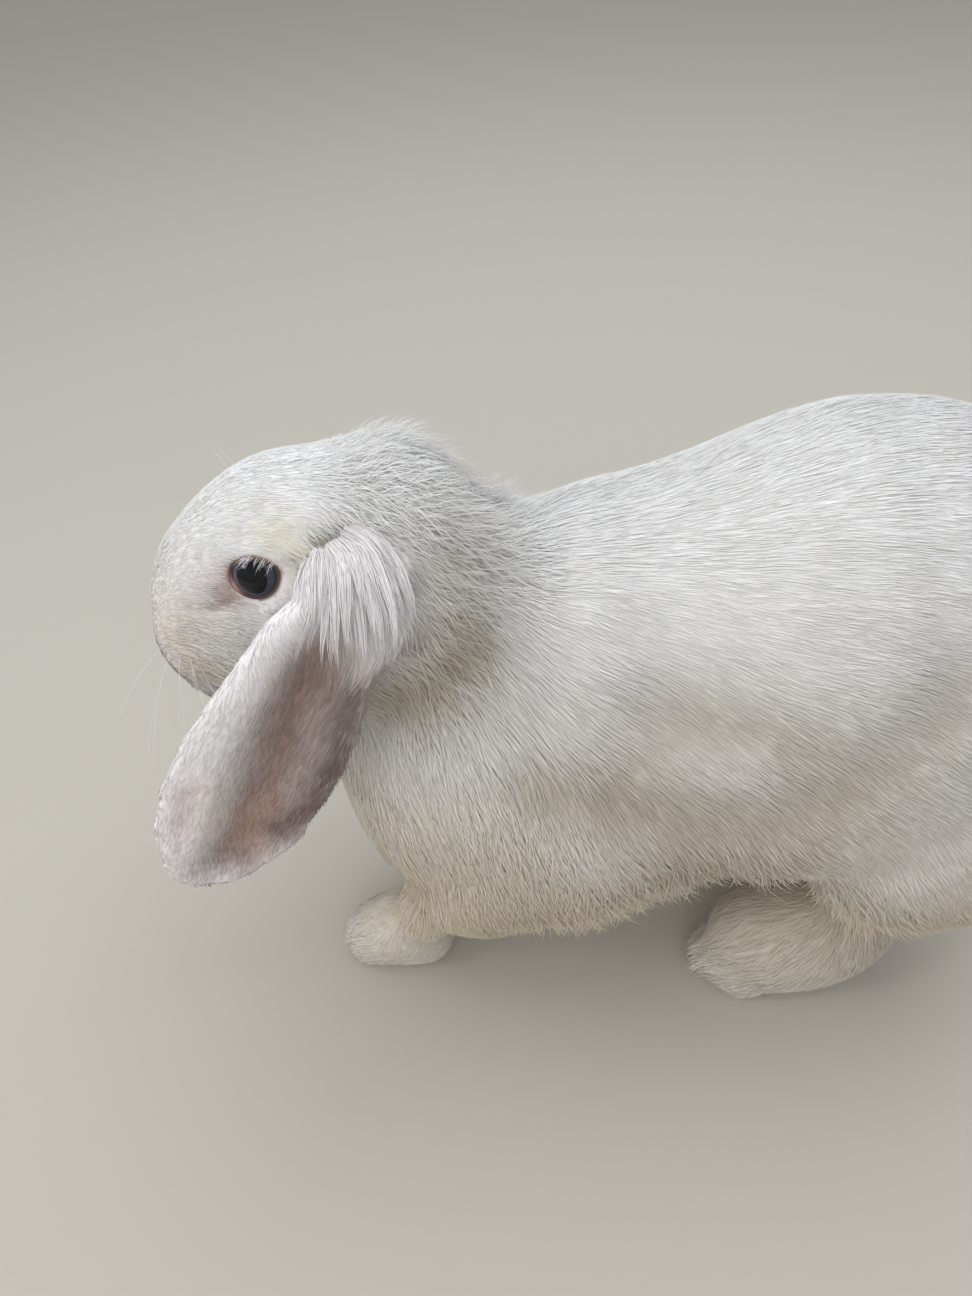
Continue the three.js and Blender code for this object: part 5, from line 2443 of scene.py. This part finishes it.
@dataclass
class Studio:
    """The floor, the lamps and the camera.

    Args:
        from_eye: The camera's place as seen from the left eye, in metres.
        right: The way to the right in the camera's view.
        up: The way up in the camera's view.
        lens: The camera's lens, in millimetres.
        film: The height of the camera's film, in millimetres.
        floor_size: Half the floor's side, in metres.
        floor_colour: The floor's colour.
        sky: The colour of the light from all round.
        sky_strength: How strong it is.
        backdrop: The colour that the camera sees behind the floor.
    """

    from_eye: Point = (0.22, 0.063, 0.1725)
    right: Point = (0.04937, 0.99744, -0.05166)
    up: Point = (-0.68915, 0.07146, 0.72108)
    lens: float = 26.83
    film: float = 36.0
    floor_size: float = 3.0
    floor_colour: Colour = (0.52, 0.49, 0.44)
    sky: Colour = (0.96, 0.98, 1.0)
    sky_strength: float = 0.5
    backdrop: Colour = (0.8, 0.8, 0.79)

    def build(self, eye: Eye) -> None:
        """Makes the studio round the model.

        Args:
            eye: The left eye, which the camera is placed from.
        """
        self.build_camera(eye)
        self.build_floor()
        self.build_world()
        self.lamp("key_lamp", (-0.25, 0.1, 1.35), 1.5, 11.8, (0.95, 0.975, 1.0), False)
        self.lamp("front_lamp", (0.35, -1.1, 0.9), 0.3, 2.0, (1.0, 0.99, 0.97), True)
        self.lamp("fill_lamp", (1.15, -0.05, 0.95), 1.1, 3.6, (1.0, 0.975, 0.94), False)
        self.lamp("low_lamp", (0.85, -1.05, 0.32), 0.9, 3.2, (1.0, 0.985, 0.96), False)

    def build_camera(self, eye: Eye) -> None:
        """Makes the camera.

        Args:
            eye: The left eye, which it is placed from.
        """
        data = bpy.data.cameras.new("camera")
        data.sensor_fit = "VERTICAL"
        data.sensor_height = self.film
        data.lens = self.lens
        data.clip_start = 0.01
        camera = bpy.data.objects.new("camera", data)
        bpy.context.scene.collection.objects.link(camera)
        right = Vector(self.right).normalized()
        up = Vector(self.up).normalized()
        back = right.cross(up)
        turned = Matrix((right, up, back)).transposed().to_4x4()
        camera.matrix_world = Matrix.Translation(Vector(eye.middle) + Vector(self.from_eye)) @ turned
        bpy.context.scene.camera = camera

    def build_floor(self) -> None:
        """Makes the plain pale floor."""
        half = self.floor_size
        plate = bmesh.new()
        corners = ((-half, -half), (half, -half), (half, half), (-half, half))
        plate.faces.new([plate.verts.new((x, y, 0.0)) for x, y in corners])
        mesh = to_mesh("floor", plate)
        paint = Paint("floor_paint", 0.8)
        colour = paint.mix(paint.noise(60.0), opaque(self.floor_colour, 0.985), opaque(self.floor_colour))
        mesh.materials.append(paint.finish(colour))
        new_object("floor", mesh)

    def build_world(self) -> None:
        """Makes the soft light from all round."""
        world = bpy.data.worlds.new("studio")
        world.use_nodes = True
        tree = world.node_tree
        tree.nodes.clear()
        path = add_node(tree, "ShaderNodeLightPath").outputs["Is Camera Ray"]
        given = {"Color": opaque(self.sky), "Strength": self.sky_strength}
        light = add_node(tree, "ShaderNodeBackground", given).outputs["Background"]
        seen = add_node(tree, "ShaderNodeBackground", {"Color": opaque(self.backdrop)}).outputs["Background"]
        either = add_node(tree, "ShaderNodeMixShader", {"Fac": path, 1: light, 2: seen})
        add_node(tree, "ShaderNodeOutputWorld", {"Surface": either.outputs["Shader"]})
        bpy.context.scene.world = world

    def lamp(self, name: str, place: Point, size: float, power: float, colour: Colour, shown: bool) -> None:
        """Makes a round lamp that faces the model.

        Args:
            name: The lamp's name.
            place: Where it hangs, in metres.
            size: Its width, in metres.
            power: Its power, in watts.
            colour: The colour of its light.
            shown: Whether shiny surfaces show it.
        """
        data = bpy.data.lights.new(name, "AREA")
        data.shape = "DISK"
        data.size = size
        data.energy = power
        data.color = colour
        made = bpy.data.objects.new(name, data)
        bpy.context.scene.collection.objects.link(made)
        aim = Vector((0.0, 0.0, 0.1)) - Vector(place)
        made.location = place
        made.visible_glossy = shown
        made.rotation_euler = aim.to_track_quat("-Z", "Y").to_euler()


# ---------------------------------------------------------------- making it all


def main() -> None:
    """Builds the studio, the skin, the eyes and the coat."""
    logging.basicConfig(level=logging.INFO, format="%(message)s")
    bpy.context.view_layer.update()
    bpy.context.scene.view_settings.view_transform = "Standard"
    eyes = [Eye(side) for side in Side]
    Studio().build(eyes[0])
    LOG.info("studio ready")
    skin = Skin()
    skin_object = skin.build(eyes)
    skin_object.data.materials.append(SkinFinish().make())
    for piece in Coat(skin, CoatFinish().make()).build():
        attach(piece, ROOT_BODY)
        "ear_skin" if "_ear_" in piece.name else "coat"
        LOG.info("%s: %d faces", piece.name, len(piece.data.polygons))
    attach(skin_object, ROOT_BODY)
    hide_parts(*FLESH)
    LOG.info("skin: %d vertices", len(skin_object.data.vertices))
    eye_finish = EyeFinish().make()
    for eye in eyes:
        Eyeball(eye).build(eye_finish)
        LOG.info("%s eyeball made", eye.side.word)


if __name__ == "__main__":
    main()
